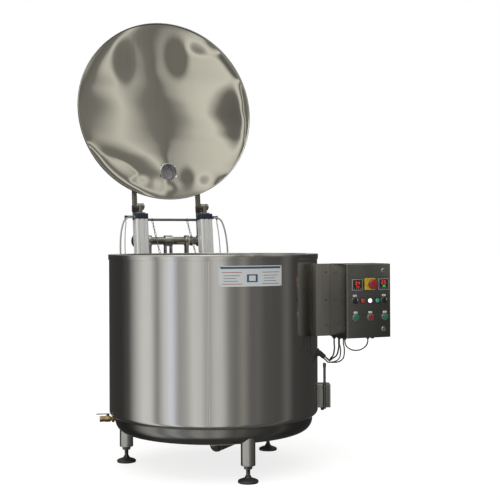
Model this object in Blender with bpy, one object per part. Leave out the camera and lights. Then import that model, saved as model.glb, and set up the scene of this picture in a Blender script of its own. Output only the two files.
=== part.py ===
"""Open-top milk tank on three levelling feet, with a lid raised by two air cylinders.

Metres, +Z up. The tank's front faces -Y and the lid's hinge is behind it, at +Y.
The lid stands open. Every piece is drawn about the tank's own axis, and the whole
model hangs on one empty that puts the middle of its bounding box over the origin.
"""
import math

import bmesh
import bpy
from mathutils import Matrix, Vector

# ---- driving dimensions ----------------------------------------------------
GAP = 0.0003                # between pieces that touch
TANK_RADIUS = 0.435         # outside of the jacket
RIM_Z = 0.880               # top of the rim above the floor
RIM_RADIUS = 0.4375
RIM_SKIRT = 0.022
MOUTH_RADIUS = 0.391        # opening in the rim
JACKET_WALL = 0.002
SEAM_Z = 0.2145             # lower edge of the jacket
CORNER = 0.022              # rounding of the jacket's lower edge
SHEET = 0.003               # vessel and dish wall

DISH_RADIUS, DISH_CROWN, DISH_KNUCKLE, DISH_BOTTOM = 0.411, 1.700, 0.050, 0.109
VESSEL_RADIUS, VESSEL_CROWN, VESSEL_KNUCKLE, VESSEL_BOTTOM = 0.395, 0.860, 0.050, 0.133

OUTLET_RADIUS, OUTLET_WALL = 0.0205, 0.0015
OUTLET_Z = 0.0665           # axis of the outlet's level run
OUTLET_BEND = 0.030
OUTLET_AZIMUTH = 44.0       # degrees from +X, towards the back right
OUTLET_REACH = 0.430        # where the run meets the valve
VALVE_LENGTH, VALVE_RADIUS = 0.028, 0.034

LEG_ANGLES = (-90.0, 30.0, 150.0)
LEG_CIRCLE, LEG_RADIUS = 0.3765, 0.0285
LEG_BOTTOM, LEG_TOP = 0.066, 0.250    # the tube is cut to the dish below its top
LEG_BEVEL = 0.003
STEM_RADIUS, STEM_TOP, PAD_RADIUS = 0.008, 0.136, 0.040
NUT_RADIUS, NUT_LOW = 0.0165, 0.0525

HINGE_Y, HINGE_Z = 0.615, 0.936
AXLE_RADIUS = 0.0184
LID_OPEN = 96.4             # degrees from closed
LID_RADIUS = 0.425
LID_TOP, LID_SHEET = 0.8965, 0.0025
NOZZLE_Y, NOZZLE_RADIUS, NOZZLE_WALL = 0.2925, 0.038, 0.002
FERRULE_RADIUS, FERRULE_TOP = 0.0455, 0.948     # the nozzle is closed by a blank cap
LIFT_X = 0.157              # arms and air cylinders, either side of the middle
ARM_WIDTH, ARM_END_Y = 0.020, 0.050
TIE_ROD_Y = 0.515           # tie rod between the arms, lid closed
PIN_Y, PIN_Z = 0.465, 0.853     # cylinder pin on the arms, lid closed
POST_X = 0.092
CHAIN_X = (-0.075, 0.098)
CHAIN_FOOT_Y = 0.500

SWING_Y, SWING_Z = 0.462, 0.420     # cylinder foot pivot
BODY_WIDTH, BODY_LENGTH = 0.060, 0.345
HEAD_DROP = 0.035           # from the upper pin to the head of the cylinder
CAP_LENGTH = 0.030
BORE_RADIUS, ROD_RADIUS = 0.0225, 0.010
HOSE_RADIUS, PILOT_RADIUS = 0.004, 0.0025

BOX_X, BOX_Y, BOX_Z = (0.418, 0.618), (-0.400, -0.250), (0.541, 0.840)
DOOR_DEPTH = 0.012
PANEL_X, PANEL_Z = 0.518, 0.6905    # middle of the door
CONTROL_PITCH = 0.033
LAMP_ROW, BUTTON_ROW = 0.001, -0.066
BUTTON_SPACING = 0.0665

GROMMET_ANGLE, GROMMET_Z, GROMMET_SLOPE = -27.0, 0.470, -41.0
GROMMET_LENGTH, GROMMET_RADIUS = 0.036, 0.011
TERMINAL_ANGLE = -20.0
DRAIN_ANGLE, DRAIN_Z = 165.0, 0.200
GLAND_LOW = 0.531
GLANDS = (                  # x, y and radius of each
    (0.430, -0.264, 0.0085), (0.451, -0.264, 0.0085), (0.436, -0.300, 0.0065),
    (0.454, -0.300, 0.0065), (0.443, -0.335, 0.0065), (0.548, -0.335, 0.0065),
    (0.572, -0.330, 0.0085))

BIG_STEPS, MID_STEPS, SMALL_STEPS = 40, 16, 12
MERGE = 1e-5                # points closer than this become one


# ---- materials ---------------------------------------------------------------
def material(name, colour, roughness, metallic=0.0):
    made = bpy.data.materials.new(name)
    made.use_nodes = True
    shader = made.node_tree.nodes["Principled BSDF"]
    shader.inputs["Base Color"].default_value = (*colour, 1.0)
    shader.inputs["Roughness"].default_value = roughness
    shader.inputs["Metallic"].default_value = metallic
    return made


def clear_scene():
    for thing in list(bpy.data.objects):
        bpy.data.objects.remove(thing)


# ---- shape helpers -------------------------------------------------------------
def add_object(name, bm, finish):
    """Turn a bmesh into an object with outward faces and smooth round sides."""
    bmesh.ops.recalc_face_normals(bm, faces=bm.faces)
    mesh = bpy.data.meshes.new(name)
    bm.to_mesh(mesh)
    bm.free()
    mesh.materials.append(finish)
    mesh.shade_smooth()
    mesh.set_sharp_from_angle(angle=math.radians(35))
    made = bpy.data.objects.new(name, mesh)
    bpy.context.scene.collection.objects.link(made)
    return made


def turned(name, profile, finish, steps=BIG_STEPS, at=(0, 0, 0), sweep=360.0, start=0.0):
    """Spin a closed (radius, z) outline about Z; points on the axis become poles."""
    bm = bmesh.new()
    turn = Matrix.Translation(at) @ Matrix.Rotation(math.radians(start), 4, "Z")
    points = [bm.verts.new(turn @ Vector((r, 0, z))) for r, z in profile]
    full = sweep == 360.0
    edges = [bm.edges.new(pair) for pair in zip(points, points[1:] + points[:1])]
    if full:
        edges = [e for e in edges if max((v.co - Vector(at)).xy.length for v in e.verts) > MERGE]
    caps = [] if full else [bm.faces.new(points)]
    bmesh.ops.spin(bm, geom=edges + caps, cent=at, axis=(0, 0, 1), steps=steps,
                   angle=math.radians(sweep))
    bmesh.ops.remove_doubles(bm, verts=bm.verts, dist=MERGE)
    return add_object(name, bm, finish)


def arc(centre, radius, start, end, steps):
    """Points of an arc in the (radius, z) plane, angles in degrees from +r."""
    angles = [math.radians(start + (end - start) * i / steps) for i in range(steps + 1)]
    return [(centre[0] + radius * math.cos(a), centre[1] + radius * math.sin(a)) for a in angles]


def dish_curve(radius, crown, knuckle, bottom, hole=0.0, steps=3):
    """Underside of a dished end, from its hole or axis out to where it stands upright."""
    middle = bottom + crown
    knuckle_r = radius - knuckle
    knuckle_z = middle - math.sqrt((crown - knuckle) ** 2 - knuckle_r ** 2)
    first = math.asin(hole / crown)
    last = math.asin(knuckle_r / (crown - knuckle))
    points = []
    for i in range(steps):
        a = first + (last - first) * i / steps
        points.append((crown * math.sin(a), middle - crown * math.cos(a)))
    start = math.degrees(last) - 90.0
    return points + arc((knuckle_r, knuckle_z), knuckle, start, 0.0, steps)


def block(name, low, high, finish, turn=None):
    bm = bmesh.new()
    size = [b - a for a, b in zip(low, high)]
    middle = [(a + b) / 2 for a, b in zip(low, high)]
    place = Matrix.Translation(middle) @ Matrix.Diagonal((*size, 1.0))
    bmesh.ops.create_cube(bm, size=1.0, matrix=(turn or Matrix()) @ place)
    return add_object(name, bm, finish)


def bar(name, start, end, radius, finish, steps=SMALL_STEPS, end_radius=None):
    """A round bar or cone from one point to another."""
    start, end = Vector(start), Vector(end)
    along = end - start
    place = Matrix.Translation((start + end) / 2) @ along.to_track_quat("Z", "Y").to_matrix().to_4x4()
    bm = bmesh.new()
    bmesh.ops.create_cone(bm, cap_ends=True, segments=steps, radius1=radius,
                          radius2=radius if end_radius is None else end_radius,
                          depth=along.length, matrix=place)
    return add_object(name, bm, finish)


def plate(name, outline, low, high, finish):
    """A flat (y, z) outline given thickness along X."""
    bm = bmesh.new()
    face = bm.faces.new([bm.verts.new((low, y, z)) for y, z in outline])
    grown = bmesh.ops.extrude_face_region(bm, geom=[face])
    moved = [v for v in grown["geom"] if isinstance(v, bmesh.types.BMVert)]
    bmesh.ops.translate(bm, vec=(high - low, 0, 0), verts=moved)
    return add_object(name, bm, finish)


def pipe(name, route, outer, inner, finish, steps=MID_STEPS):
    """A hollow tube along a route of points."""
    bm = bmesh.new()
    rings = []
    for i, point in enumerate(route):
        ahead = route[min(i + 1, len(route) - 1)] - route[max(i - 1, 0)]
        frame = Matrix.Translation(point) @ ahead.to_track_quat("Z", "X").to_matrix().to_4x4()
        for radius in (outer, inner):
            ring = []
            for k in range(steps):
                a = 2 * math.pi * k / steps
                ring.append(bm.verts.new(frame @ Vector((radius * math.cos(a),
                                                         radius * math.sin(a), 0))))
            rings.append(ring)
    outside, inside = rings[0::2], rings[1::2]
    walls = list(zip(outside, outside[1:])) + list(zip(inside, inside[1:]))
    walls += [(outside[0], inside[0]), (outside[-1], inside[-1])]
    for a, b in walls:
        for k in range(steps):
            n = (k + 1) % steps
            bm.faces.new((a[k], a[n], b[n], b[k]))
    return add_object(name, bm, finish)


def apply_tool(target, tool, operation):
    """Cut or weld one solid with another, and drop the tool."""
    change = target.modifiers.new(operation, "BOOLEAN")
    change.operation = operation
    change.solver = "EXACT"
    change.object = tool
    bpy.context.view_layer.update()
    graph = bpy.context.evaluated_depsgraph_get()
    result = bpy.data.meshes.new_from_object(target.evaluated_get(graph))
    target.modifiers.clear()
    target.data = result
    bpy.data.objects.remove(tool)
    return target


def weld(target, *tools):
    for tool in tools:
        apply_tool(target, tool, "UNION")
    return target


def cut(target, *tools):
    for tool in tools:
        apply_tool(target, tool, "DIFFERENCE")
    return target


def smooth_route(points, spacing):
    """Points at an even spacing along a smooth curve through the given ones."""
    knots = [Vector(p) for p in points]
    ends = [2 * knots[0] - knots[1]] + knots + [2 * knots[-1] - knots[-2]]
    fine = []
    for a, b, c, d in zip(ends, ends[1:], ends[2:], ends[3:]):
        for i in range(16):
            t = i / 16
            fine.append(0.5 * (2 * b + (c - a) * t + (2 * a - 5 * b + 4 * c - d) * t ** 2
                               + (3 * b - a - 3 * c + d) * t ** 3))
    fine.append(knots[-1])
    travelled = [0.0]
    for a, b in zip(fine, fine[1:]):
        travelled.append(travelled[-1] + (b - a).length)
    count = max(2, round(travelled[-1] / spacing))
    evened, k = [], 0
    for i in range(count + 1):
        want = travelled[-1] * i / count
        while k < len(fine) - 2 and travelled[k + 1] < want:
            k += 1
        share = (want - travelled[k]) / (travelled[k + 1] - travelled[k])
        evened.append(fine[k].lerp(fine[k + 1], share))
    return evened


def cord(name, points, radius, finish):
    """A round cord: one open curve with a bevel and filled ends."""
    route = smooth_route(points, 5.5 * radius)
    curve = bpy.data.curves.new(name, "CURVE")
    curve.dimensions = "3D"
    curve.bevel_depth = radius
    curve.bevel_resolution = 2
    curve.use_fill_caps = True
    spline = curve.splines.new("POLY")
    spline.points.add(len(route) - 1)
    for point, place in zip(spline.points, route):
        point.co = (*place, 1.0)
    curve.materials.append(finish)
    made = bpy.data.objects.new(name, curve)
    bpy.context.scene.collection.objects.link(made)
    return made


def pivot(name, at, parent):
    made = bpy.data.objects.new(name, None)
    made.location = at
    made.parent = parent
    made.empty_display_size = 0.05
    bpy.context.scene.collection.objects.link(made)
    return made


def attach(parent, *pieces):
    """Hang pieces drawn about the tank's axis on a pivot, whose place becomes their origin."""
    for piece in pieces:
        piece.data.transform(Matrix.Translation(-parent.location))
        piece.parent = parent
    return pieces


def radial(angle):
    a = math.radians(angle)
    return Vector((math.cos(a), math.sin(a), 0))


# ---- the tank --------------------------------------------------------------------
def tank_envelope(name="envelope"):
    """The tank's outside grown by the gap, for cutting what sits against it."""
    under = dish_curve(DISH_RADIUS + GAP, DISH_CROWN + GAP, DISH_KNUCKLE + GAP, DISH_BOTTOM - GAP)
    corner = arc((TANK_RADIUS - CORNER, SEAM_Z + CORNER), CORNER + GAP, -90, 0, 6)
    low_lip, wide = RIM_Z - RIM_SKIRT - GAP, RIM_RADIUS + GAP
    side = [(TANK_RADIUS + GAP, low_lip), (wide, low_lip), (wide, RIM_Z + GAP), (0, RIM_Z + GAP)]
    under = [p for p in under if p[1] < SEAM_Z - GAP]
    joint = (DISH_RADIUS + GAP, SEAM_Z - GAP)
    return turned(name, under + [joint] + corner + side, STEEL)


def make_tank(base):
    top = RIM_Z - SHEET
    middle = (TANK_RADIUS - CORNER, SEAM_Z + CORNER)
    outside = [(TANK_RADIUS, top)] + arc(middle, CORNER, 0, -90, 5)
    inside = arc(middle, CORNER - JACKET_WALL, -90, 0, 5) + [(TANK_RADIUS - JACKET_WALL, top)]
    jacket = turned("outer_jacket", outside + inside, STEEL)

    hole, dish_hole = OUTLET_RADIUS + GAP, OUTLET_RADIUS + 0.0035
    lip = 0.236
    dish = dish_curve(DISH_RADIUS, DISH_CROWN, DISH_KNUCKLE, DISH_BOTTOM, dish_hole)
    lining = dish_curve(DISH_RADIUS - SHEET, DISH_CROWN - SHEET, DISH_KNUCKLE - SHEET,
                        DISH_BOTTOM + SHEET, dish_hole)
    outer_dish = turned("bottom_dish", dish + [(DISH_RADIUS, lip), (DISH_RADIUS - SHEET, lip)]
                        + lining[::-1], STEEL)

    wall = dish_curve(VESSEL_RADIUS, VESSEL_CROWN, VESSEL_KNUCKLE, VESSEL_BOTTOM, hole)
    milk = dish_curve(VESSEL_RADIUS - SHEET, VESSEL_CROWN - SHEET, VESSEL_KNUCKLE - SHEET,
                      VESSEL_BOTTOM + SHEET, hole)
    vessel = turned("inner_vessel", wall + [(VESSEL_RADIUS, top), (VESSEL_RADIUS - SHEET, top)]
                    + milk[::-1], BRIGHT)

    foam_out, foam_in, foam_low = TANK_RADIUS - JACKET_WALL - GAP, VESSEL_RADIUS + GAP, 0.264
    foam = turned("insulation_foam", [(foam_in, foam_low), (foam_out, foam_low),
                                      (foam_out, top - GAP), (foam_in, top - GAP)], FOAM)

    skirt_low, lip_in = RIM_Z - RIM_SKIRT, RIM_RADIUS - JACKET_WALL
    rim = turned("top_rim", [
        (MOUTH_RADIUS, top + GAP), (MOUTH_RADIUS, RIM_Z), (RIM_RADIUS - 0.0015, RIM_Z),
        (RIM_RADIUS, RIM_Z - 0.0015), (RIM_RADIUS, skirt_low), (lip_in, skirt_low),
        (lip_in, top + GAP)], STEEL)
    plate_radius = TANK_RADIUS + GAP
    label = turned("label_plate", [(plate_radius, 0.760), (plate_radius + 0.001, 0.760),
                                   (plate_radius + 0.001, 0.839), (plate_radius, 0.839)],
                   LABEL, steps=8, sweep=34.6, start=-107.8)
    attach(base, jacket, outer_dish, vessel, foam, rim, label)


def make_outlet(base):
    """Bottom outlet: an elbow under the middle, a run to the back right and its valve."""
    along = radial(OUTLET_AZIMUTH)
    up = Vector((0, 0, 1))
    route = [up * (VESSEL_BOTTOM + SHEET - GAP), up * (OUTLET_Z + OUTLET_BEND + 0.004)]
    for i in range(7):
        a = math.radians(90 * i / 6)
        route.append(along * OUTLET_BEND * (1 - math.cos(a))
                     + up * (OUTLET_Z + OUTLET_BEND * (1 - math.sin(a))))
    level = up * OUTLET_Z
    route.append(along * OUTLET_REACH + level)
    run = pipe("outlet_pipe", route, OUTLET_RADIUS, OUTLET_RADIUS - OUTLET_WALL, STEEL)

    near = along * (OUTLET_REACH + GAP) + level
    far = near + along * VALVE_LENGTH
    seat = near + along * VALVE_LENGTH / 2
    body = bar("outlet_valve_body", near, far, VALVE_RADIUS, STEEL, MID_STEPS)
    neck = bar("neck", seat + up * 0.02, seat + up * 0.044, 0.011, STEEL)
    liner = bar("liner", far - along * 0.002, far + along * 0.022, OUTLET_RADIUS, STEEL, MID_STEPS)
    ferrule = bar("ferrule", far + along * 0.018, far + along * 0.024, 0.0255, STEEL, MID_STEPS)
    weld(body, neck, liner, ferrule)
    cut(body, bar("bore", near - along * 0.01, far + along * 0.04,
                  OUTLET_RADIUS - OUTLET_WALL, STEEL, MID_STEPS))
    cut(body, bar("stem_bore", seat + up * 0.01, seat + up * 0.06, 0.0055, STEEL))
    attach(base, run, body)

    axis = pivot("outlet_valve_axis", seat, base)
    disc = bar("outlet_valve_disc", seat - along * 0.0015, seat + along * 0.0015,
               OUTLET_RADIUS - OUTLET_WALL - 0.0006, BRIGHT, MID_STEPS)
    weld(disc, bar("stem", seat, seat + up * 0.052, 0.005, BRIGHT))
    facing = Matrix.Translation(seat) @ Matrix.Rotation(math.radians(OUTLET_AZIMUTH), 4, "Z")
    handle = block("outlet_valve_handle", (-0.012, -0.012, 0.0445), (0.012, 0.012, 0.0575),
                   PLASTIC, facing)
    weld(handle, block("grip", (-0.010, -0.125, 0.0475), (0.010, 0.0, 0.0555), PLASTIC, facing))
    cut(handle, bar("socket", seat + up * 0.04, seat + up * 0.053, 0.0053, PLASTIC))
    attach(axis, disc, handle)


def make_leg(number, angle, base):
    """A tube cut to the dish, its levelling foot and the nut that locks it."""
    x, y, _ = radial(angle) * LEG_CIRCLE
    at = (x, y, 0)
    neck, inner = STEM_RADIUS + GAP, LEG_RADIUS - SHEET
    leg = turned(f"leg_tube_{number}", [
        (LEG_RADIUS, LEG_TOP), (LEG_RADIUS, LEG_BOTTOM + LEG_BEVEL),
        (LEG_RADIUS - LEG_BEVEL, LEG_BOTTOM), (neck, LEG_BOTTOM), (neck, 0.100),
        (inner, 0.110), (inner, LEG_TOP)], STEEL, MID_STEPS, at)
    cut(leg, tank_envelope())
    attach(base, leg)

    axis = pivot(f"foot_axis_{number}", at, base)
    foot = turned(f"levelling_foot_{number}", [
        (0, 0), (PAD_RADIUS, 0), (PAD_RADIUS + 0.0006, 0.004), (PAD_RADIUS - 0.001, 0.009),
        (0.027, 0.015), (0.015, 0.021), (0.0125, 0.031), (STEM_RADIUS, 0.0335),
        (STEM_RADIUS, STEM_TOP), (0, STEM_TOP)], RUBBER, MID_STEPS, at)
    nut = bar(f"foot_lock_nut_{number}", (x, y, NUT_LOW), (x, y, LEG_BOTTOM - GAP), NUT_RADIUS,
              ZINC, 6)
    cut(nut, bar("thread", (x, y, 0.04), (x, y, 0.08), neck, ZINC, MID_STEPS))
    attach(axis, foot, nut)


# ---- lid, hinge and lift ---------------------------------------------------------
def make_hinge_frame(base):
    """Brackets behind the rim that carry the lid's axle."""
    frame = block("hinge_frame", (-POST_X, 0.600, 0.858), (POST_X, 0.640, 0.8712), STEEL)
    for side in (-1, 1):
        x = side * POST_X
        gusset = plate("gusset", [(0.40, 0.700), (0.40, 0.869), (0.645, 0.869), (0.645, 0.852)],
                       x - 0.005, x + 0.005, STEEL)
        shelf = block("shelf", (x - 0.022, 0.40, 0.866), (x + 0.022, 0.655, 0.872), STEEL)
        post = block("post", (x - 0.006, 0.597, 0.868), (x + 0.006, 0.633, HINGE_Z), STEEL)
        ring = bar("ring", (x - 0.009, HINGE_Y, HINGE_Z), (x + 0.009, HINGE_Y, HINGE_Z),
                   0.0265, STEEL, MID_STEPS)
        weld(frame, gusset, shelf, post, ring)
    for x in (-0.014, 0.014):
        weld(frame, block("cheek", (x - 0.004, 0.601, 0.866), (x + 0.004, 0.629, 0.912), STEEL))
    weld(frame, bar("saddle", (-0.019, HINGE_Y, HINGE_Z), (0.019, HINGE_Y, HINGE_Z),
                    0.0255, STEEL, MID_STEPS))
    cut(frame, bar("bore", (-0.2, HINGE_Y, HINGE_Z), (0.2, HINGE_Y, HINGE_Z),
                   AXLE_RADIUS + 0.0006, STEEL, MID_STEPS))
    cut(frame, tank_envelope())
    attach(base, frame)


def make_lid(axis):
    """Lid panel and its welded arm frame, drawn closed; the axis empty then opens them."""
    low, top = RIM_Z + 0.0007, LID_TOP
    inside = LID_RADIUS - LID_SHEET
    panel = turned("lid_panel", [
        (0, top - LID_SHEET), (inside - 0.002, top - LID_SHEET), (inside, top - 0.0045),
        (inside, low), (LID_RADIUS, low), (LID_RADIUS, top - 0.004), (LID_RADIUS - 0.004, top),
        (0, top)], BRIGHT)
    cut(panel, bar("hole", (0, NOZZLE_Y, top - 0.02), (0, NOZZLE_Y, top + 0.02),
                   NOZZLE_RADIUS - 0.001, BRIGHT, 24))
    bore, cap_low = NOZZLE_RADIUS - NOZZLE_WALL, FERRULE_TOP - 0.0025
    nozzle = turned("nozzle", [
        (bore, 0.8855), (NOZZLE_RADIUS, 0.8855), (NOZZLE_RADIUS, 0.942), (FERRULE_RADIUS, 0.942),
        (FERRULE_RADIUS, FERRULE_TOP), (0, FERRULE_TOP), (0, cap_low), (bore, cap_low)],
        BRIGHT, 24, (0, NOZZLE_Y, 0))
    weld(panel, nozzle)

    frame = bar("lid_arm_frame", (-LIFT_X - 0.018, HINGE_Y, HINGE_Z),
                (LIFT_X + 0.018, HINGE_Y, HINGE_Z), AXLE_RADIUS, STEEL, MID_STEPS)
    weld(frame, bar("tie_rod", (-LIFT_X, TIE_ROD_Y, HINGE_Z), (LIFT_X, TIE_ROD_Y, HINGE_Z),
                    0.006, STEEL))
    half = ARM_WIDTH / 2
    for side in (-1, 1):
        x = side * LIFT_X
        arm = block("arm", (x - half, ARM_END_Y, HINGE_Z - half),
                    (x + half, HINGE_Y + 0.01, HINGE_Z + half), STEEL)
        hub = bar("hub", (x - 0.013, HINGE_Y, HINGE_Z), (x + 0.013, HINGE_Y, HINGE_Z),
                  0.0262, STEEL, MID_STEPS)
        collar = bar("collar", (side * 0.112, HINGE_Y, HINGE_Z), (side * 0.120, HINGE_Y, HINGE_Z),
                     0.0235, STEEL, MID_STEPS)
        weld(frame, arm, hub, collar)
        for y in (0.095, 0.330):
            weld(frame, block("foot", (x - 0.013, y - 0.022, LID_TOP + GAP),
                              (x + 0.013, y + 0.022, HINGE_Z - half + 0.002), STEEL))
        for cheek in (-0.0135, 0.0135):
            at = x + cheek
            lug = block("lug", (at - 0.004, PIN_Y - 0.0155, PIN_Z),
                        (at + 0.004, PIN_Y + 0.0155, HINGE_Z - half + 0.002), STEEL)
            eye = bar("eye", (at - 0.004, PIN_Y, PIN_Z), (at + 0.004, PIN_Y, PIN_Z),
                      0.0155, STEEL, MID_STEPS)
            out = math.copysign(1, cheek)
            head = bar("pin_head", (at + out * 0.003, PIN_Y, PIN_Z),
                       (at + out * 0.008, PIN_Y, PIN_Z), 0.0075, STEEL)
            weld(frame, lug, eye, head)
    attach(axis, panel, frame)


def opened(y, z):
    """Where a point of the closed lid goes when the lid opens, as (y, z)."""
    a = -math.radians(LID_OPEN)
    dy, dz = y - HINGE_Y, z - HINGE_Z
    return (HINGE_Y + dy * math.cos(a) - dz * math.sin(a),
            HINGE_Z + dy * math.sin(a) + dz * math.cos(a))


def make_chains(base):
    """Plain rods where the two safety chains hang, tight while the lid is open."""
    rod_y, rod_z = opened(TIE_ROD_Y, HINGE_Z)
    top = Vector((0, rod_y, rod_z))
    foot = Vector((0, CHAIN_FOOT_Y, 0.8725))
    slope = (foot - top).normalized()
    for side, x in zip(("left", "right"), CHAIN_X):
        shift = Vector((x, 0, 0))
        attach(base, bar(f"safety_chain_{side}", top + slope * 0.0068 + shift,
                         foot - slope * 0.0045 + shift, 0.0038, ZINC, 8))


def make_lift(base):
    """Two air cylinders, head up: the rods swing on the tank, the bodies ride on the rods."""
    pin_y, pin_z = opened(PIN_Y, PIN_Z)
    reach = math.hypot(pin_y - SWING_Y, pin_z - SWING_Z)
    lean = math.atan2(pin_y - SWING_Y, pin_z - SWING_Z)
    head, tail = reach - HEAD_DROP, reach - HEAD_DROP - BODY_LENGTH
    low_bore, high_bore = tail + CAP_LENGTH, head - CAP_LENGTH
    half = BODY_WIDTH / 2
    swing = pivot("rod_swing_axis", (0, SWING_Y, SWING_Z), base)
    swing.rotation_euler.x = -lean
    travel = pivot("cylinder_travel", (0, 0, 0), swing)
    for side, name in ((-1, "left"), (1, "right")):
        x = side * LIFT_X
        rod = bar(f"piston_rod_{name}", (x, 0, 0.010), (x, 0, low_bore + 0.010), ROD_RADIUS, BRIGHT)
        eye = bar("eye", (x - 0.008, 0, 0), (x + 0.008, 0, 0), 0.016, BRIGHT, MID_STEPS)
        piston = bar("piston", (x, 0, low_bore + 0.003), (x, 0, low_bore + 0.021),
                     BORE_RADIUS - 0.0006, BRIGHT, MID_STEPS)
        weld(rod, eye, piston)
        cut(rod, bar("pin_hole", (x - 0.02, 0, 0), (x + 0.02, 0, 0), 0.0066, BRIGHT))

        body = block(f"lift_cylinder_{name}", (x - half, -half, tail), (x + half, half, head), ALUMINIUM)
        lug = block("lug", (x - 0.0085, -0.0145, head - 0.002), (x + 0.0085, 0.0145, reach), BLUE)
        crown = bar("crown", (x - 0.0085, 0, reach), (x + 0.0085, 0, reach), 0.0145, BLUE, MID_STEPS)
        weld(body, lug, crown)
        skin = x + side * half
        tip = skin + side * 0.036
        for z, sign in ((head - 0.010, -1), (tail + 0.010, 1)):
            port = bar("port", (skin - side * 0.002, -0.012, z + sign * 0.008),
                       (skin + side * 0.010, -0.012, z + sign * 0.008), 0.0065, BLUE)
            spout = bar("spout", (skin - side * 0.002, 0.012, z), (tip, 0.012, z), 0.0045, BLUE)
            turn = block("turn", (tip - 0.006, 0.006, min(z - sign * 0.005, z + sign * 0.012)),
                         (tip + 0.006, 0.018, max(z - sign * 0.005, z + sign * 0.012)), BLUE)
            weld(body, port, spout, turn)
        cut(body, bar("bore", (x, 0, low_bore), (x, 0, high_bore), BORE_RADIUS, ALUMINIUM, MID_STEPS))
        cut(body, bar("gland", (x, 0, tail - 0.01), (x, 0, low_bore + 0.002), ROD_RADIUS + 0.0006,
                      ALUMINIUM, SMALL_STEPS))
        cut(body, bar("pin_hole", (x - 0.02, 0, reach), (x + 0.02, 0, reach), 0.0066, BLUE))

        port_x = skin + side * (0.010 + GAP)
        top, low = head - 0.018, tail + 0.018
        middle = (top + low) / 2
        bow = (top - low) / 2
        steps = ((0.0, 1.00), (0.010, 1.00), (0.020, 1.00), (0.038, 0.92), (0.048, 0.77),
                 (0.056, 0.56), (0.061, 0.30), (0.063, 0.00))
        upper = [(port_x + side * out, -0.012, middle + bow * share) for out, share in steps]
        lower = [(px, py, 2 * middle - pz) for px, py, pz in upper[-2::-1]]
        hose = cord(f"air_hose_{name}", upper + lower, HOSE_RADIUS, HOSE)
        start, end = head - 0.022 - GAP, tail + 0.022 + GAP
        pilot = cord(f"pilot_hose_{name}", [
            (tip, 0.012, start), (tip, 0.012, start - 0.01), (tip, 0.012, start - 0.02),
            (tip + side * 0.006, 0.012, start - 0.07), (tip + side * 0.009, 0.012, middle),
            (tip + side * 0.006, 0.012, end + 0.07), (tip, 0.012, end + 0.02),
            (tip, 0.012, end + 0.01), (tip, 0.012, end)], PILOT_RADIUS, HOSE)
        rod.parent = swing
        for piece in (body, hose, pilot):
            piece.parent = travel
        make_foot_bracket(name, x, base)


def make_foot_bracket(name, x, base):
    """Two cheeks on the tank wall with the pin that a piston rod swings on."""
    bracket = block(f"cylinder_bracket_{name}", (x - 0.030, 0.360, SWING_Z - 0.045),
                    (x + 0.030, 0.4235, SWING_Z + 0.030), STEEL)
    for cheek in (-0.0145, 0.0145):
        at = x + cheek
        weld(bracket, plate("cheek", [
            (0.38, SWING_Z - 0.040), (SWING_Y, SWING_Z - 0.018), (SWING_Y + 0.018, SWING_Z - 0.008),
            (SWING_Y + 0.018, SWING_Z + 0.008), (SWING_Y, SWING_Z + 0.018), (0.38, SWING_Z + 0.026)],
            at - 0.004, at + 0.004, STEEL))
    weld(bracket, bar("pin", (x - 0.023, SWING_Y, SWING_Z), (x + 0.023, SWING_Y, SWING_Z),
                      0.006, STEEL))
    cut(bracket, tank_envelope())
    attach(base, bracket)


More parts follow.
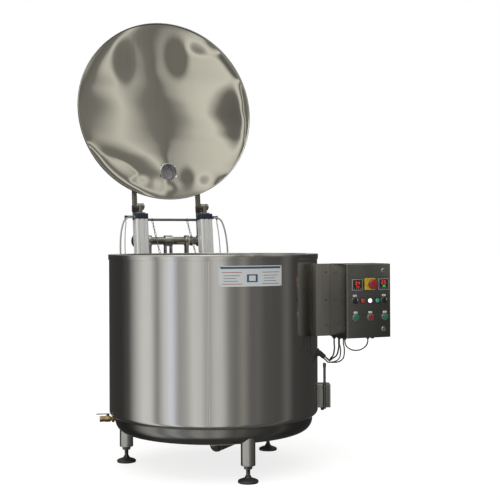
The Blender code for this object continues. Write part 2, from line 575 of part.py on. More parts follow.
# ---- control box -------------------------------------------------------------------
def make_control_box(base):
    (x0, x1), (y0, y1), (z0, z1) = BOX_X, BOX_Y, BOX_Z
    front = y0 + DOOR_DEPTH
    housing = block("control_box_housing", (x0, front, z0), (x1, y1, z1), GREY)
    cut(housing, block("inside", (x0 + 0.002, front - 0.01, z0 + 0.002),
                       (x1 - 0.002, y1 - 0.002, z1 - 0.002), GREY))
    low, high = z0 + 0.001, z1 - 0.0005
    bracket = block("control_box_bracket", (0.30, y1 + GAP, low), (x1 - 0.030, y1 + 0.004, high), GREY)
    weld(bracket, block("heel", (0.30, y1 + 0.002, low), (0.372, y1 + 0.018, high), GREY))
    cut(bracket, tank_envelope())
    tray = block("mounting_plate", (x0 + 0.012, y1 - 0.0055, z0 + 0.020),
                 (x1 - 0.012, y1 - 0.0035, z1 - 0.020), ZINC)
    for z, width, depth in ((0.760, 0.150, 0.045), (0.690, 0.120, 0.038), (0.615, 0.160, 0.030)):
        weld(tray, block("module", (PANEL_X - width / 2, y1 - 0.006 - depth, z - 0.024),
                         (PANEL_X + width / 2, y1 - 0.004, z + 0.024), ZINC))
    strip = block("gland_strip", (x0 + 0.003, -0.350, z0 - 0.0028), (x1 - 0.020, -0.254, z0 - GAP), GREY)
    for x, y, radius in GLANDS:
        weld(strip, bar("gland", (x, y, GLAND_LOW), (x, y, z0 - 0.0015), radius, PLASTIC))
    attach(base, housing, bracket, tray, strip)

    axis = pivot("door_axis", (x0 - 0.002, front - 0.0005, PANEL_Z), base)
    low, high = (x0 + 0.0005, y0, z0 + 0.0005), (x1 - 0.0005, front - 0.0005, z1 - 0.0005)
    door = block("control_box_door", low, high, GREY)
    cut(door, block("pan", (low[0] + 0.002, y0 + 0.002, low[2] + 0.002),
                    (high[0] - 0.002, front + 0.01, high[2] - 0.002), GREY))
    lamp_xs = [PANEL_X + k * CONTROL_PITCH + 0.0035 for k in (-1, 0, 1)]
    for x in lamp_xs:
        cut(door, bar("lamp_hole", (x, y0 - 0.01, PANEL_Z + LAMP_ROW),
                      (x, y0 + 0.01, PANEL_Z + LAMP_ROW), 0.0118, GREY))
    lamps = block("indicator_lamps", (lamp_xs[0] - 0.008, y0 + 0.0025, PANEL_Z - 0.012),
                  (lamp_xs[2] + 0.008, y0 + 0.0075, PANEL_Z + 0.014), PLASTIC)
    for x in lamp_xs:
        weld(lamps, bar("lamp", (x, y0 - 0.009, PANEL_Z + LAMP_ROW),
                        (x, y0 + 0.004, PANEL_Z + LAMP_ROW), 0.0112, LENS))
    attach(axis, door, lamps)

    for name, x, z in (("left", PANEL_X - 0.0547, PANEL_Z + 0.064),
                       ("right", PANEL_X + 0.0646, PANEL_Z + 0.0655)):
        cut_size, body_size = 0.0224, 0.0220
        hole = block("hole", (x - cut_size, y0 - 0.01, z - cut_size),
                     (x + cut_size, y0 + 0.008, z + cut_size), GREY)
        hole.parent = axis
        hole.data.transform(Matrix.Translation(-axis.location))
        cut(door, hole)
        controller = block(f"temperature_controller_{name}", (x - 0.024, y0 - 0.0085, z - 0.024),
                           (x + 0.024, y0 - GAP, z + 0.024), PLASTIC)
        weld(controller, block("body", (x - body_size, y0 - 0.002, z - body_size),
                               (x + body_size, y0 + 0.060, z + body_size), PLASTIC))
        attach(axis, controller)

    for name, x, z in (("upper", PANEL_X + 0.0665, PANEL_Z + 0.1205),
                       ("lower", PANEL_X + 0.0665, PANEL_Z - 0.1155)):
        make_lock(name, x, z, y0, door, axis)
    make_controls(y0, axis)


def make_lock(name, x, z, face, door, door_axis):
    """A quarter-turn lock: its round insert, shaft and cam."""
    axis = pivot(f"lock_axis_{name}", Vector((x, face, z)) - door_axis.location, door_axis)
    hole = bar("hole", (x, face - 0.01, z), (x, face + 0.01, z), 0.0065, GREY)
    hole.parent = door_axis
    hole.data.transform(Matrix.Translation(-door_axis.location))
    cut(door, hole)
    lock = bar(f"door_lock_{name}", (0, -0.0045, 0), (0, -GAP, 0), 0.0105, ZINC, MID_STEPS)
    weld(lock, bar("shaft", (0, -0.001, 0), (0, 0.017, 0), 0.0058, ZINC))
    weld(lock, block("cam", (-0.006, 0.0130, -0.006), (0.024, 0.0160, 0.006), ZINC))
    lock.parent = axis


def make_controls(face, door_axis):
    """Emergency stop, selector switches and push buttons, each on its own pivot."""
    def place(name, x, z):
        return pivot(name, Vector((x, face, z)) - door_axis.location, door_axis)

    x, z = PANEL_X + 0.0037, PANEL_Z + 0.068
    base = block("emergency_stop_base", (x - 0.024, face - 0.0035, z - 0.0235),
                 (x + 0.024, face - GAP, z + 0.0235), YELLOW)
    weld(base, bar("neck", (x, face - 0.0175, z), (x, face - 0.002, z), 0.0145, YELLOW, MID_STEPS))
    cut(base, bar("bore", (x, face - 0.03, z), (x, face + 0.01, z), 0.0117, YELLOW, MID_STEPS))
    attach(door_axis, base)
    stop = turned("emergency_stop_head", [
        (0, 0.0070), (0.0112, 0.0070), (0.0112, 0.0240), (0.0198, 0.0240), (0.0205, 0.0280),
        (0.0195, 0.0335), (0.0150, 0.0370), (0, 0.0380)], RED, MID_STEPS)
    stop.data.transform(Matrix.Rotation(math.radians(90), 4, "X"))
    stop.parent = place("emergency_stop_axis", x, z)

    for name, k in (("left", -2), ("right", 2)):
        x = PANEL_X + k * CONTROL_PITCH + 0.0022
        knob = bar(f"selector_{name}", (0, -0.0110, 0), (0, -0.0006, 0), 0.0125, PLASTIC, MID_STEPS)
        weld(knob, block("fin", (-0.0038, -0.0230, -0.0118), (0.0038, -0.0100, 0.0118), PLASTIC))
        knob.parent = place(f"selector_axis_{name}", x, PANEL_Z + LAMP_ROW)

    for name, k, colour in (("start", -1, GREEN), ("stop", 0, RED), ("reset", 1, GREEN)):
        x = PANEL_X + k * BUTTON_SPACING + 0.0058
        cap = turned(f"push_button_{name}", [
            (0, 0.0045), (0.0105, 0.0045), (0.0105, 0.0105), (0.0095, 0.0115), (0, 0.0120)],
            colour, MID_STEPS)
        cap.data.transform(Matrix.Rotation(math.radians(90), 4, "X"))
        cap.parent = place(f"push_button_axis_{name}", x, PANEL_Z + BUTTON_ROW)


# ---- cables and fittings on the wall ---------------------------------------------------

def make_wall_fittings(base):
    """Cable grommet, terminal box with its conduit, and the jacket's drain valve."""
    out = radial(GROMMET_ANGLE)
    slope = math.radians(GROMMET_SLOPE)
    aim = out * math.cos(slope) + Vector((0, 0, math.sin(slope)))
    wall = out * (TANK_RADIUS + 0.004) + Vector((0, 0, GROMMET_Z))
    mouth = wall + aim * (GROMMET_LENGTH - 0.004)
    grommet = bar("wall_grommet", wall - aim * 0.02, mouth, GROMMET_RADIUS, RUBBER, MID_STEPS)
    weld(grommet, bar("collar", out * (TANK_RADIUS - 0.01) + Vector((0, 0, GROMMET_Z)),
                      out * (TANK_RADIUS + 0.006) + Vector((0, 0, GROMMET_Z)), 0.017, RUBBER, MID_STEPS))
    cut(grommet, tank_envelope())

    facing = Matrix.Rotation(math.radians(TERMINAL_ANGLE), 4, "Z")
    terminal = block("terminal_box", (TANK_RADIUS - 0.01, -0.030, 0.236),
                     (TANK_RADIUS + 0.052, 0.030, 0.334), GREY, facing)
    conduit = facing @ Vector((TANK_RADIUS + 0.026, -0.037, 0))
    low, high = conduit + Vector((0, 0, 0.232)), conduit + Vector((0, 0, 0.416))
    weld(terminal, bar("conduit", low, high, 0.0055, STEEL))
    weld(terminal, bar("cap", high - Vector((0, 0, 0.012)), high + Vector((0, 0, 0.008)),
                       0.0068, STEEL))
    for z in (0.250, 0.320):
        weld(terminal, block("clip", (TANK_RADIUS + 0.020, -0.040, z - 0.004),
                             (TANK_RADIUS + 0.032, -0.025, z + 0.004), STEEL, facing))
    weld(terminal, block("lower_gland", (TANK_RADIUS + 0.010, -0.012, 0.222),
                         (TANK_RADIUS + 0.030, 0.008, 0.238), PLASTIC, facing))
    cut(terminal, tank_envelope())

    spout = radial(DRAIN_ANGLE)
    level = Vector((0, 0, DRAIN_Z))
    drain = bar("drain_valve", spout * 0.385 + level, spout * 0.474 + level, 0.0085, BRASS, MID_STEPS)
    for near, far, radius in ((0.414, 0.424, 0.0155), (0.4305, 0.452, 0.0135), (0.462, 0.474, 0.0130)):
        weld(drain, bar("hex", spout * near + level, spout * far + level, radius, BRASS, 6))
    hub = spout * 0.441
    weld(drain, bar("bonnet", hub + Vector((0, 0, DRAIN_Z)), hub + Vector((0, 0, DRAIN_Z + 0.0185)),
                    0.006, BRASS))
    cut(drain, tank_envelope())
    attach(base, grommet, terminal, drain)

    axis = pivot("drain_lever_axis", hub + Vector((0, 0, DRAIN_Z + 0.0188)), base)
    turn = Matrix.Rotation(math.radians(DRAIN_ANGLE), 4, "Z")
    lever = block("drain_lever", (-0.008, -0.007, 0), (0.048, 0.007, 0.003), ZINC, turn)
    lever.parent = axis
    make_cables(mouth, aim, base)


def make_cables(mouth, aim, base):
    """Cables from the box's glands to the grommet's mouth, and one loop between two glands."""
    side = aim.cross(Vector((0, 0, 1))).normalized()
    rise = side.cross(aim)
    start = GLAND_LOW - GAP
    plan = (
        ("power_cable_a", 0, 0.0033, (0.0048, 0.003),
         ((0.4315, -0.263, 0.490), (0.4315, -0.252, 0.462), (0.428, -0.234, 0.4465))),
        ("power_cable_b", 1, 0.0033, (-0.0048, 0.003),
         ((0.4515, -0.262, 0.490), (0.449, -0.249, 0.460), (0.440, -0.229, 0.4455))),
        ("signal_cable_a", 2, 0.0027, (0.0036, -0.0056),
         ((0.442, -0.298, 0.487), (0.445, -0.284, 0.455), (0.439, -0.256, 0.436))),
        ("signal_cable_b", 3, 0.0027, (-0.0036, -0.0056),
         ((0.460, -0.297, 0.485), (0.463, -0.280, 0.450), (0.452, -0.250, 0.4315))))
    for name, gland, radius, (across, up), through in plan:
        x, y, _ = GLANDS[gland]
        end = mouth + aim * GAP + side * across + rise * up
        attach(base, cord(name, [
            (x, y, start), (x, y, start - 0.010), (x, y, start - 0.019), *through,
            end + aim * 0.024, end + aim * 0.016, end + aim * 0.008, end], radius, CABLE))
    (x0, y, _), (x1, _, _) = GLANDS[4], GLANDS[5]
    middle = (x0 + x1) / 2
    half = (x1 - x0) / 2
    shape = ((-1.0, 0.0), (-1.0, -0.006), (-0.99, -0.012), (-0.87, -0.026), (-0.50, -0.040),
             (0.0, -0.045))
    left = [(middle + half * share, y, start + drop) for share, drop in shape]
    right = [(2 * middle - px, py, pz) for px, py, pz in left[-2::-1]]
    attach(base, cord("loop_cable", left + right, 0.0027, CABLE))


# ---- the whole model ---------------------------------------------------------------------
def centre_over_origin(base):
    """Shift the model so that the middle of its bounding box stands over the origin."""
    bpy.context.view_layer.update()
    graph = bpy.context.evaluated_depsgraph_get()
    lows, highs = [], []
    for thing in bpy.context.scene.objects:
        if thing.type in {"MESH", "CURVE"}:
            mesh = thing.evaluated_get(graph).to_mesh()
            corners = [thing.matrix_world @ v.co for v in mesh.vertices]
            lows.append([min(c[k] for c in corners) for k in range(2)])
            highs.append([max(c[k] for c in corners) for k in range(2)])
            thing.evaluated_get(graph).to_mesh_clear()
    for k in range(2):
        base.location[k] = -(min(p[k] for p in lows) + max(p[k] for p in highs)) / 2


clear_scene()
STEEL = material("satin_steel", (0.56, 0.55, 0.52), 0.32, 1.0)
BRIGHT = material("polished_steel", (0.66, 0.65, 0.60), 0.12, 1.0)
ALUMINIUM = material("anodised_aluminium", (0.78, 0.79, 0.80), 0.28, 1.0)
BLUE = material("blue_cap_paint", (0.05, 0.09, 0.18), 0.45)
GREY = material("box_steel", (0.24, 0.24, 0.23), 0.38, 0.9)
ZINC = material("zinc_plate", (0.60, 0.60, 0.58), 0.40, 1.0)
BRASS = material("brass", (0.55, 0.42, 0.20), 0.38, 1.0)
RUBBER = material("black_rubber", (0.02, 0.02, 0.02), 0.65)
PLASTIC = material("black_plastic", (0.03, 0.03, 0.03), 0.45)
FOAM = material("insulation", (0.80, 0.72, 0.45), 0.90)
LABEL = material("label_white", (0.78, 0.80, 0.80), 0.50)
HOSE = material("grey_hose", (0.55, 0.56, 0.54), 0.50)
CABLE = material("grey_cable", (0.22, 0.22, 0.20), 0.55)
YELLOW = material("yellow_plate", (0.75, 0.55, 0.05), 0.45)
RED = material("red_plastic", (0.45, 0.02, 0.03), 0.40)
GREEN = material("green_plastic", (0.03, 0.30, 0.16), 0.40)
LENS = material("lamp_lens", (0.80, 0.80, 0.85), 0.15)

tank = pivot("milk_tank", (0, 0, 0), None)
make_tank(tank)
make_outlet(tank)
for leg_number, leg_angle in enumerate(LEG_ANGLES, 1):
    make_leg(leg_number, leg_angle, tank)
make_hinge_frame(tank)
lid_axis = pivot("lid_axis", (0, HINGE_Y, HINGE_Z), tank)
make_lid(lid_axis)
lid_axis.rotation_euler.x = -math.radians(LID_OPEN)
make_chains(tank)
make_lift(tank)
make_control_box(tank)
make_wall_fittings(tank)
centre_over_origin(tank)
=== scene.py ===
"""Looks of the open-top milk tank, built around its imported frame.

Metres, +Z up. Pieces are drawn about the tank's own axis and then moved by AXIS, which
comes from the frame, so that they lie where the CAD nodes are.
"""
import math

import bmesh
import bpy
from mathutils import Matrix, Vector, noise


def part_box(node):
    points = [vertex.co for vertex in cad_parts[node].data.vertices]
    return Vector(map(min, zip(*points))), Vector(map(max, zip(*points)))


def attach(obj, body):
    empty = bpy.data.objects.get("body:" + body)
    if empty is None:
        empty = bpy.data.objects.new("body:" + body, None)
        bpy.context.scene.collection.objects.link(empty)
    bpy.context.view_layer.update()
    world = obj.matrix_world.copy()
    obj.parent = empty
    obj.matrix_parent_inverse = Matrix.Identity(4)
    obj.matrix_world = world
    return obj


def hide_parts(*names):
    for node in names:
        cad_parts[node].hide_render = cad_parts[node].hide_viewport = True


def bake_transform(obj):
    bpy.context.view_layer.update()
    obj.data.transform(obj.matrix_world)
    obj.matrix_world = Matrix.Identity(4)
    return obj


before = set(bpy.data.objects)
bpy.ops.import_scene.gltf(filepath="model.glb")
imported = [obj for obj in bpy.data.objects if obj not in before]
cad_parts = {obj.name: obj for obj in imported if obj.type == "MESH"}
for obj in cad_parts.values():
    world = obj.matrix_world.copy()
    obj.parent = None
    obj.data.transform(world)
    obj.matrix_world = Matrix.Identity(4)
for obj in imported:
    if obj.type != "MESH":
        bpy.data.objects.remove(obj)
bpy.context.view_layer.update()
jacket_low, jacket_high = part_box("outer_jacket")
AXIS = Vector(((jacket_low.x + jacket_high.x) / 2, (jacket_low.y + jacket_high.y) / 2, 0))
TO_ROW = Matrix.Translation(AXIS)

# ---- dimensions, the same as the CAD's ------------------------------------------------
TANK_RADIUS, RIM_Z, RIM_RADIUS, MOUTH_RADIUS = 0.435, 0.880, 0.4375, 0.391
SEAM_Z, CORNER, SHEET = 0.2145, 0.022, 0.003
# Dished ends: radius, crown, knuckle and bottom.
DISH, VESSEL = (0.411, 1.700, 0.050, 0.109), (0.395, 0.860, 0.050, 0.133)
DISH_TOP, RIM_LOW = 0.236, 0.858
OUTLET_Z, OUTLET_BEND, OUTLET_AZIMUTH, OUTLET_REACH = 0.0665, 0.030, 44.0, 0.430
OUTLET_RADIUS, OUTLET_BORE = 0.0205, 0.019
LEG_ANGLES, LEG_CIRCLE, LEG_RADIUS, LEG_BOTTOM = (-90.0, 30.0, 150.0), 0.3765, 0.0285, 0.066
HINGE_Y, HINGE_Z, AXLE_RADIUS, LID_OPEN = 0.615, 0.936, 0.0184, 96.4
LID_RADIUS, LID_TOP, LID_LOW = 0.425, 0.8965, 0.8807
LID_FLAT, LID_UNDER, LID_UPPER = 0.4205, 0.0062, 0.0026  # sheet inside its rolled edge, and its depths
NOZZLE_Y, NOZZLE_RADIUS = 0.2925, 0.038
LIFT_X, ARM_HALF, ARM_END_Y, TIE_ROD_Y = 0.157, 0.010, 0.050, 0.515
PIN_Y, PIN_Z, POST_X = 0.465, 0.853, 0.092
CHAIN_X, CHAIN_FOOT = (-0.075, 0.098), Vector((0, 0.500, 0.8725))
SWING = Vector((0, 0.462, 0.420))
BODY_HALF, BODY_LENGTH, HEAD_DROP = 0.030, 0.345, 0.035
BOX_X, BOX_Y, BOX_Z, DOOR_DEPTH = (0.418, 0.618), (-0.400, -0.250), (0.541, 0.840), 0.012
PANEL_X, PANEL_Z, CONTROL_PITCH, BUTTON_SPACING = 0.518, 0.6905, 0.033, 0.0665
GROMMET_ANGLE, GROMMET_Z, GROMMET_SLOPE = -27.0, 0.470, -41.0
TERMINAL_ANGLE, DRAIN_ANGLE, DRAIN_Z = -20.0, 165.0, 0.200
GLAND_LOW = 0.531
GLANDS = ((0.430, -0.264, 0.0085), (0.451, -0.264, 0.0085), (0.436, -0.300, 0.0065),
          (0.454, -0.300, 0.0065), (0.443, -0.335, 0.0065), (0.548, -0.335, 0.0065),
          (0.572, -0.330, 0.0085))

# ---- camera ----------------------------------------------------------------------------
CAMERA_AT = Vector((-1.5532, -4.1902, 0.9307))
CAMERA_HEADING, CAMERA_ROLL = math.radians(22.306), -0.00385
CAMERA_SENSOR, CAMERA_LENS, CAMERA_SHIFT = 36.0, 76.76, -0.0168


def make_camera():
    data = bpy.data.cameras.new("camera")
    data.sensor_width = CAMERA_SENSOR
    data.lens = CAMERA_LENS
    data.shift_y = CAMERA_SHIFT
    made = bpy.data.objects.new("camera", data)
    bpy.context.scene.collection.objects.link(made)
    ahead = Vector((math.sin(CAMERA_HEADING), math.cos(CAMERA_HEADING), 0))
    level = Vector((ahead.y, -ahead.x, 0))
    up = Vector((0, 0, 1))
    right = level * math.cos(CAMERA_ROLL) + up * math.sin(CAMERA_ROLL)
    top = up * math.cos(CAMERA_ROLL) - level * math.sin(CAMERA_ROLL)
    turn = Matrix((right, top, -ahead)).transposed().to_4x4()
    made.matrix_world = Matrix.Translation(CAMERA_AT + AXIS) @ turn
    bpy.context.scene.camera = made


make_camera()


# ---- materials -------------------------------------------------------------------------
NOISE_LOW, NOISE_HIGH = 0.3, 0.7        # the part of the noise's range that is used
BLOTCH_SCALE, FINE_DETAIL, BLOTCH_DETAIL, RELIEF = 7.0, 3.0, 4.0, 0.001


def mixed(tree, factor, first, second):
    """Mix of two colours, each a tuple or a socket, by a socket."""
    node = tree.nodes.new("ShaderNodeMix")
    node.data_type = "RGBA"
    tree.links.new(factor, node.inputs["Factor"])
    for socket, value in ((node.inputs[6], first), (node.inputs[7], second)):
        if isinstance(value, tuple):
            socket.default_value = value
        else:
            tree.links.new(value, socket)
    return node.outputs[2]


def surface(name, colour, rough, metallic=0.0, grain=(30, 30, 30), shade=0.10, spread=0.06,
            bump=0.02, blotch=0.08, coat=0.0, emission=0.0, tint=None):
    """Principled surface whose colour, roughness and bump vary with a stretched fine grain
    and with large soft blotches."""
    made = bpy.data.materials.new(name)
    made.use_nodes = True
    tree = made.node_tree
    nodes, links = tree.nodes, tree.links
    shader = nodes["Principled BSDF"]
    shader.inputs["Metallic"].default_value = metallic
    shader.inputs["Coat Weight"].default_value = coat
    where = nodes.new("ShaderNodeTexCoord")
    stretch = nodes.new("ShaderNodeMapping")
    stretch.inputs["Scale"].default_value = grain
    links.new(where.outputs["Object"], stretch.inputs["Vector"])

    def noisy(place, scale, detail):
        node = nodes.new("ShaderNodeTexNoise")
        node.inputs["Scale"].default_value = scale
        node.inputs["Detail"].default_value = detail
        links.new(place, node.inputs["Vector"])
        return node

    def mapped(source, low, high):
        node = nodes.new("ShaderNodeMapRange")
        node.inputs["From Min"].default_value = NOISE_LOW
        node.inputs["From Max"].default_value = NOISE_HIGH
        node.inputs["To Min"].default_value = low
        node.inputs["To Max"].default_value = high
        links.new(source.outputs["Fac"], node.inputs["Value"])
        return node.outputs["Result"]

    fine = noisy(stretch.outputs["Vector"], 1.0, FINE_DETAIL)
    wide = noisy(where.outputs["Object"], BLOTCH_SCALE, BLOTCH_DETAIL)
    dark = tuple(c * (1 - shade) for c in colour) + (1.0,)
    pale = tuple(min(1.0, c * (1 + shade)) for c in colour) + (1.0,)
    stain = tint or tuple(c * 0.8 for c in colour)
    grained = mixed(tree, mapped(fine, 0.0, 1.0), dark, pale)
    blotched = mixed(tree, mapped(wide, 0.0, blotch), grained, (*stain, 1.0))
    links.new(blotched, shader.inputs["Base Color"])
    total = nodes.new("ShaderNodeMath")
    total.operation = "ADD"
    links.new(mapped(fine, rough - spread, rough + spread), total.inputs[0])
    links.new(mapped(wide, -spread / 2, spread / 2), total.inputs[1])
    links.new(total.outputs["Value"], shader.inputs["Roughness"])
    if bump:
        relief = nodes.new("ShaderNodeBump")
        relief.inputs["Strength"].default_value = bump
        relief.inputs["Distance"].default_value = RELIEF
        links.new(fine.outputs["Fac"], relief.inputs["Height"])
        links.new(relief.outputs["Normal"], shader.inputs["Normal"])
    if emission:
        shader.inputs["Emission Color"].default_value = (*colour, 1.0)
        shader.inputs["Emission Strength"].default_value = emission
    return made


# Grain of moulded, plated, smooth and printed pieces and of lenses, in cells to the metre.
FINE, GRIT, SMOOTH, PRINT, GLASS = ((cells,) * 3 for cells in (900, 500, 700, 300, 60))
SHELL = surface("shell_steel", (0.66, 0.65, 0.62), 0.13, 1.0, (420, 420, 3), 0.03, 0.02, 0.003, 0.06)
# The dished bottom and the outlet pipe are the shell's steel given a far darker colour: painted shade for
# the underside of the tank.
SHADED_DISH_STEEL = surface("shaded_dish_steel", (0.27, 0.265, 0.25), 0.20, 1.0, (160, 160, 160), 0.06, 0.03, 0.006, 0.2)
VESSEL_STEEL = surface("vessel_steel", (0.66, 0.65, 0.62), 0.20, 1.0, (300, 300, 4), 0.04, 0.03, 0.006)
MIRROR = surface("mirror_steel", (0.80, 0.79, 0.74), 0.035, 1.0, (260, 4, 4), 0.02, 0.01, 0.0, 0.05)
SATIN = surface("satin_steel", (0.54, 0.53, 0.50), 0.24, 1.0, (220, 220, 12), 0.05, 0.03, 0.006, 0.12)
ARM_STEEL = surface("arm_steel", (0.33, 0.31, 0.27), 0.26, 1.0, (14, 260, 260), 0.06, 0.03, 0.006, 0.2)
DARK_STEEL = surface("dark_steel", (0.30, 0.29, 0.27), 0.28, 1.0, (220, 220, 12), 0.06, 0.03, 0.006, 0.2)
CAP_STEEL = surface("blank_cap", (0.50, 0.50, 0.56), 0.30, 0.6, (160, 160, 160), 0.05, 0.03, 0.0, 0.1)
CHROME = surface("hard_chrome", (0.78, 0.78, 0.78), 0.08, 1.0, (400, 400, 400), 0.03, 0.01, 0.0)
ALUMINIUM = surface("anodised_aluminium", (0.82, 0.83, 0.84), 0.26, 0.45, (420, 420, 6), 0.02, 0.01, 0.001)
CAP_BLUE = surface("blue_cap_paint", (0.016, 0.026, 0.052), 0.38, 0.2, FINE, 0.18, 0.05, 0.04, 0.3,
                   coat=0.15)
CAST = surface("cast_clevis", (0.24, 0.23, 0.21), 0.42, 0.9, SMOOTH, 0.12, 0.05, 0.05, 0.3)
BOX_STEEL = surface("box_steel", (0.24, 0.24, 0.23), 0.28, 1.0, (6, 300, 300), 0.05, 0.03, 0.006, 0.12)
PLATE_STEEL = surface("plate_steel", (0.40, 0.39, 0.36), 0.30, 1.0, (200, 200, 8), 0.06, 0.03, 0.006, 0.15)
ZINC = surface("bright_zinc", (0.42, 0.42, 0.41), 0.30, 1.0, GRIT, 0.08, 0.04, 0.01, 0.25)
DARK_ZINC = surface("dull_zinc", (0.16, 0.16, 0.155), 0.36, 1.0, GRIT, 0.10, 0.04, 0.01, 0.25)
BRASS = surface("dull_brass", (0.24, 0.17, 0.075), 0.36, 1.0, (600, 600, 600), 0.12, 0.05, 0.02, 0.4,
                tint=(0.14, 0.10, 0.05))
RUBBER = surface("black_rubber", (0.018, 0.018, 0.018), 0.55, 0.0, FINE, 0.25, 0.08, 0.08, 0.4,
                 tint=(0.04, 0.04, 0.04))
PLASTIC = surface("black_plastic", (0.016, 0.016, 0.017), 0.38, 0.0, (1400, 1400, 1400), 0.20, 0.05, 0.04)
FOAM = surface("foam", (0.80, 0.70, 0.42), 0.90, 0.0, GRIT, 0.15, 0.05, 0.5, 0.3)
WHITE = surface("label_white", (0.46, 0.49, 0.50), 0.42, 0.0, PRINT, 0.03, 0.04, 0.0, 0.12)
TAG_WHITE = surface("tag_white", (0.60, 0.62, 0.62), 0.42, 0.0, PRINT, 0.03, 0.04, 0.0, 0.1)
NAVY = surface("label_navy", (0.035, 0.060, 0.130), 0.42, 0.0, PRINT, 0.05, 0.04, 0.0)
MAROON = surface("label_red", (0.300, 0.045, 0.050), 0.42, 0.0, PRINT, 0.05, 0.04, 0.0)
INK = surface("label_ink", (0.10, 0.13, 0.14), 0.45, 0.0, PRINT, 0.05, 0.04, 0.0)
HOSE = surface("hose_grey", (0.34, 0.35, 0.34), 0.34, 0.0, FINE, 0.05, 0.04, 0.0, coat=0.3)
HOSE_PALE = surface("hose_pale", (0.46, 0.47, 0.46), 0.30, 0.0, FINE, 0.05, 0.04, 0.0, coat=0.3)
SHEATH = surface("cable_sheath", (0.055, 0.053, 0.046), 0.42, 0.0, FINE, 0.15, 0.05, 0.02)
YELLOW = surface("yellow_plate", (0.46, 0.33, 0.02), 0.36, 0.0, SMOOTH, 0.05, 0.04, 0.0)
RED = surface("red_plastic", (0.20, 0.010, 0.015), 0.32, 0.0, SMOOTH, 0.08, 0.04, 0.0, coat=0.2)
GREEN = surface("green_plastic", (0.010, 0.130, 0.060), 0.32, 0.0, SMOOTH, 0.08, 0.04, 0.0, coat=0.2)
RED_LENS = surface("red_lens", (0.36, 0.025, 0.025), 0.16, 0.0, GLASS, 0.10, 0.04, 0.0, coat=0.5,
                   emission=0.12)
WHITE_LENS = surface("white_lens", (0.85, 0.86, 1.0), 0.14, 0.0, GLASS, 0.05, 0.04, 0.0, coat=0.5,
                     emission=0.8)
GREEN_LENS = surface("green_lens", (0.02, 0.26, 0.18), 0.16, 0.0, GLASS, 0.10, 0.04, 0.0, coat=0.5,
                     emission=0.15)
SILVER = surface("silver_bezel", (0.42, 0.42, 0.42), 0.28, 0.9, (800, 800, 800), 0.05, 0.03, 0.0)
RED_GLOW = surface("red_segments", (1.0, 0.03, 0.02), 0.3, 0.0, GLASS, 0.05, 0.02, 0.0, emission=0.9)
GREEN_GLOW = surface("green_segments", (0.05, 0.9, 0.15), 0.3, 0.0, GLASS, 0.05, 0.02, 0.0,
                     emission=0.7)


# ---- mesh helpers ----------------------------------------------------------------------
def radial(angle):
    a = math.radians(angle)
    return Vector((math.cos(a), math.sin(a), 0))


def aimed(at, along):
    """Frame at a point whose Z runs along a direction."""
    return Matrix.Translation(at) @ Vector(along).to_track_quat("Z", "Y").to_matrix().to_4x4()


def arc(centre, radius, start, end, steps):
    angles = [math.radians(start + (end - start) * i / steps) for i in range(steps + 1)]
    return [(centre[0] + radius * math.cos(a), centre[1] + radius * math.sin(a)) for a in angles]


def dish_curve(radius, crown, knuckle, bottom, hole=0.0, steps=14):
    """Underside of a dished end, from its hole or axis out to where it stands upright."""
    middle = bottom + crown
    knuckle_r = radius - knuckle
    knuckle_z = middle - math.sqrt((crown - knuckle) ** 2 - knuckle_r ** 2)
    first, last = math.asin(hole / crown), math.asin(knuckle_r / (crown - knuckle))
    points = []
    for i in range(steps):
        a = first + (last - first) * i / steps
        points.append((crown * math.sin(a), middle - crown * math.cos(a)))
    return points + arc((knuckle_r, knuckle_z), knuckle, math.degrees(last) - 90.0, 0.0, steps)


def eased(outline, radius, steps=3, keep=()):
    """A closed outline with its corners rounded, other than those numbered in keep."""
    out = []
    for i, point in enumerate(outline):
        before, here = Vector(outline[i - 1]), Vector(point)
        after = Vector(outline[(i + 1) % len(outline)])
        a, b = before - here, after - here
        if i in keep or a.length < 1e-9 or b.length < 1e-9 or a.angle(b) > math.radians(165):
            out.append(tuple(here))
            continue
        reach = min(radius, a.length * 0.45, b.length * 0.45)
        start, end = here + a.normalized() * reach, here + b.normalized() * reach
        for k in range(steps + 1):
            t = k / steps
            out.append(tuple(start * (1 - t) ** 2 + here * 2 * t * (1 - t) + end * t ** 2))
    return out


def lathe(profile, steps=64, place=Matrix(), closed=True, angles=None, warp=None):
    """Spin a (radius, z) outline about Z. warp(angle, z) adds to the radius."""
    bm = bmesh.new()
    turns = angles or [2 * math.pi * k / steps for k in range(steps)]
    rings = []
    for r, z in profile:
        if r < 1e-7:
            rings.append([bm.verts.new(place @ Vector((0, 0, z)))] * len(turns))
            continue
        ring = []
        for a in turns:
            wide = r + (warp(a, z) if warp else 0.0)
            ring.append(bm.verts.new(place @ Vector((wide * math.cos(a), wide * math.sin(a), z))))
        rings.append(ring)
    pairs = list(zip(rings, rings[1:]))
    if closed:
        pairs.append((rings[-1], rings[0]))
    for low, high in pairs:
        for k in range(len(turns)):
            n = (k + 1) % len(turns)
            corners = []
            for v in (low[k], low[n], high[n], high[k]):
                if v not in corners:
                    corners.append(v)
            if len(corners) > 2:
                bm.faces.new(corners)
    return bm


def rod(start, end, radius, bevel=0.0008, steps=32, bore=0.0):
    """A round bar from one point to another, with eased ends, and a bore where asked."""
    start, end = Vector(start), Vector(end)
    length = (end - start).length
    outline = [(bore, 0), (radius, 0), (radius, length), (bore, length)]
    keep = () if bore else (0, 3)
    return lathe(eased(outline, bevel, 3, keep), steps, aimed(start, end - start), bool(bore))


def box(low, high, bevel=0.001, turn=Matrix(), segments=3):
    bm = bmesh.new()
    size = [b - a for a, b in zip(low, high)]
    middle = [(a + b) / 2 for a, b in zip(low, high)]
    bmesh.ops.create_cube(bm, size=1.0,
                          matrix=turn @ Matrix.Translation(middle) @ Matrix.Diagonal((*size, 1)))
    if bevel:
        bmesh.ops.bevel(bm, geom=bm.edges[:], offset=min(bevel, min(size) * 0.45), segments=segments,
                        profile=0.5, affect="EDGES")
    return bm


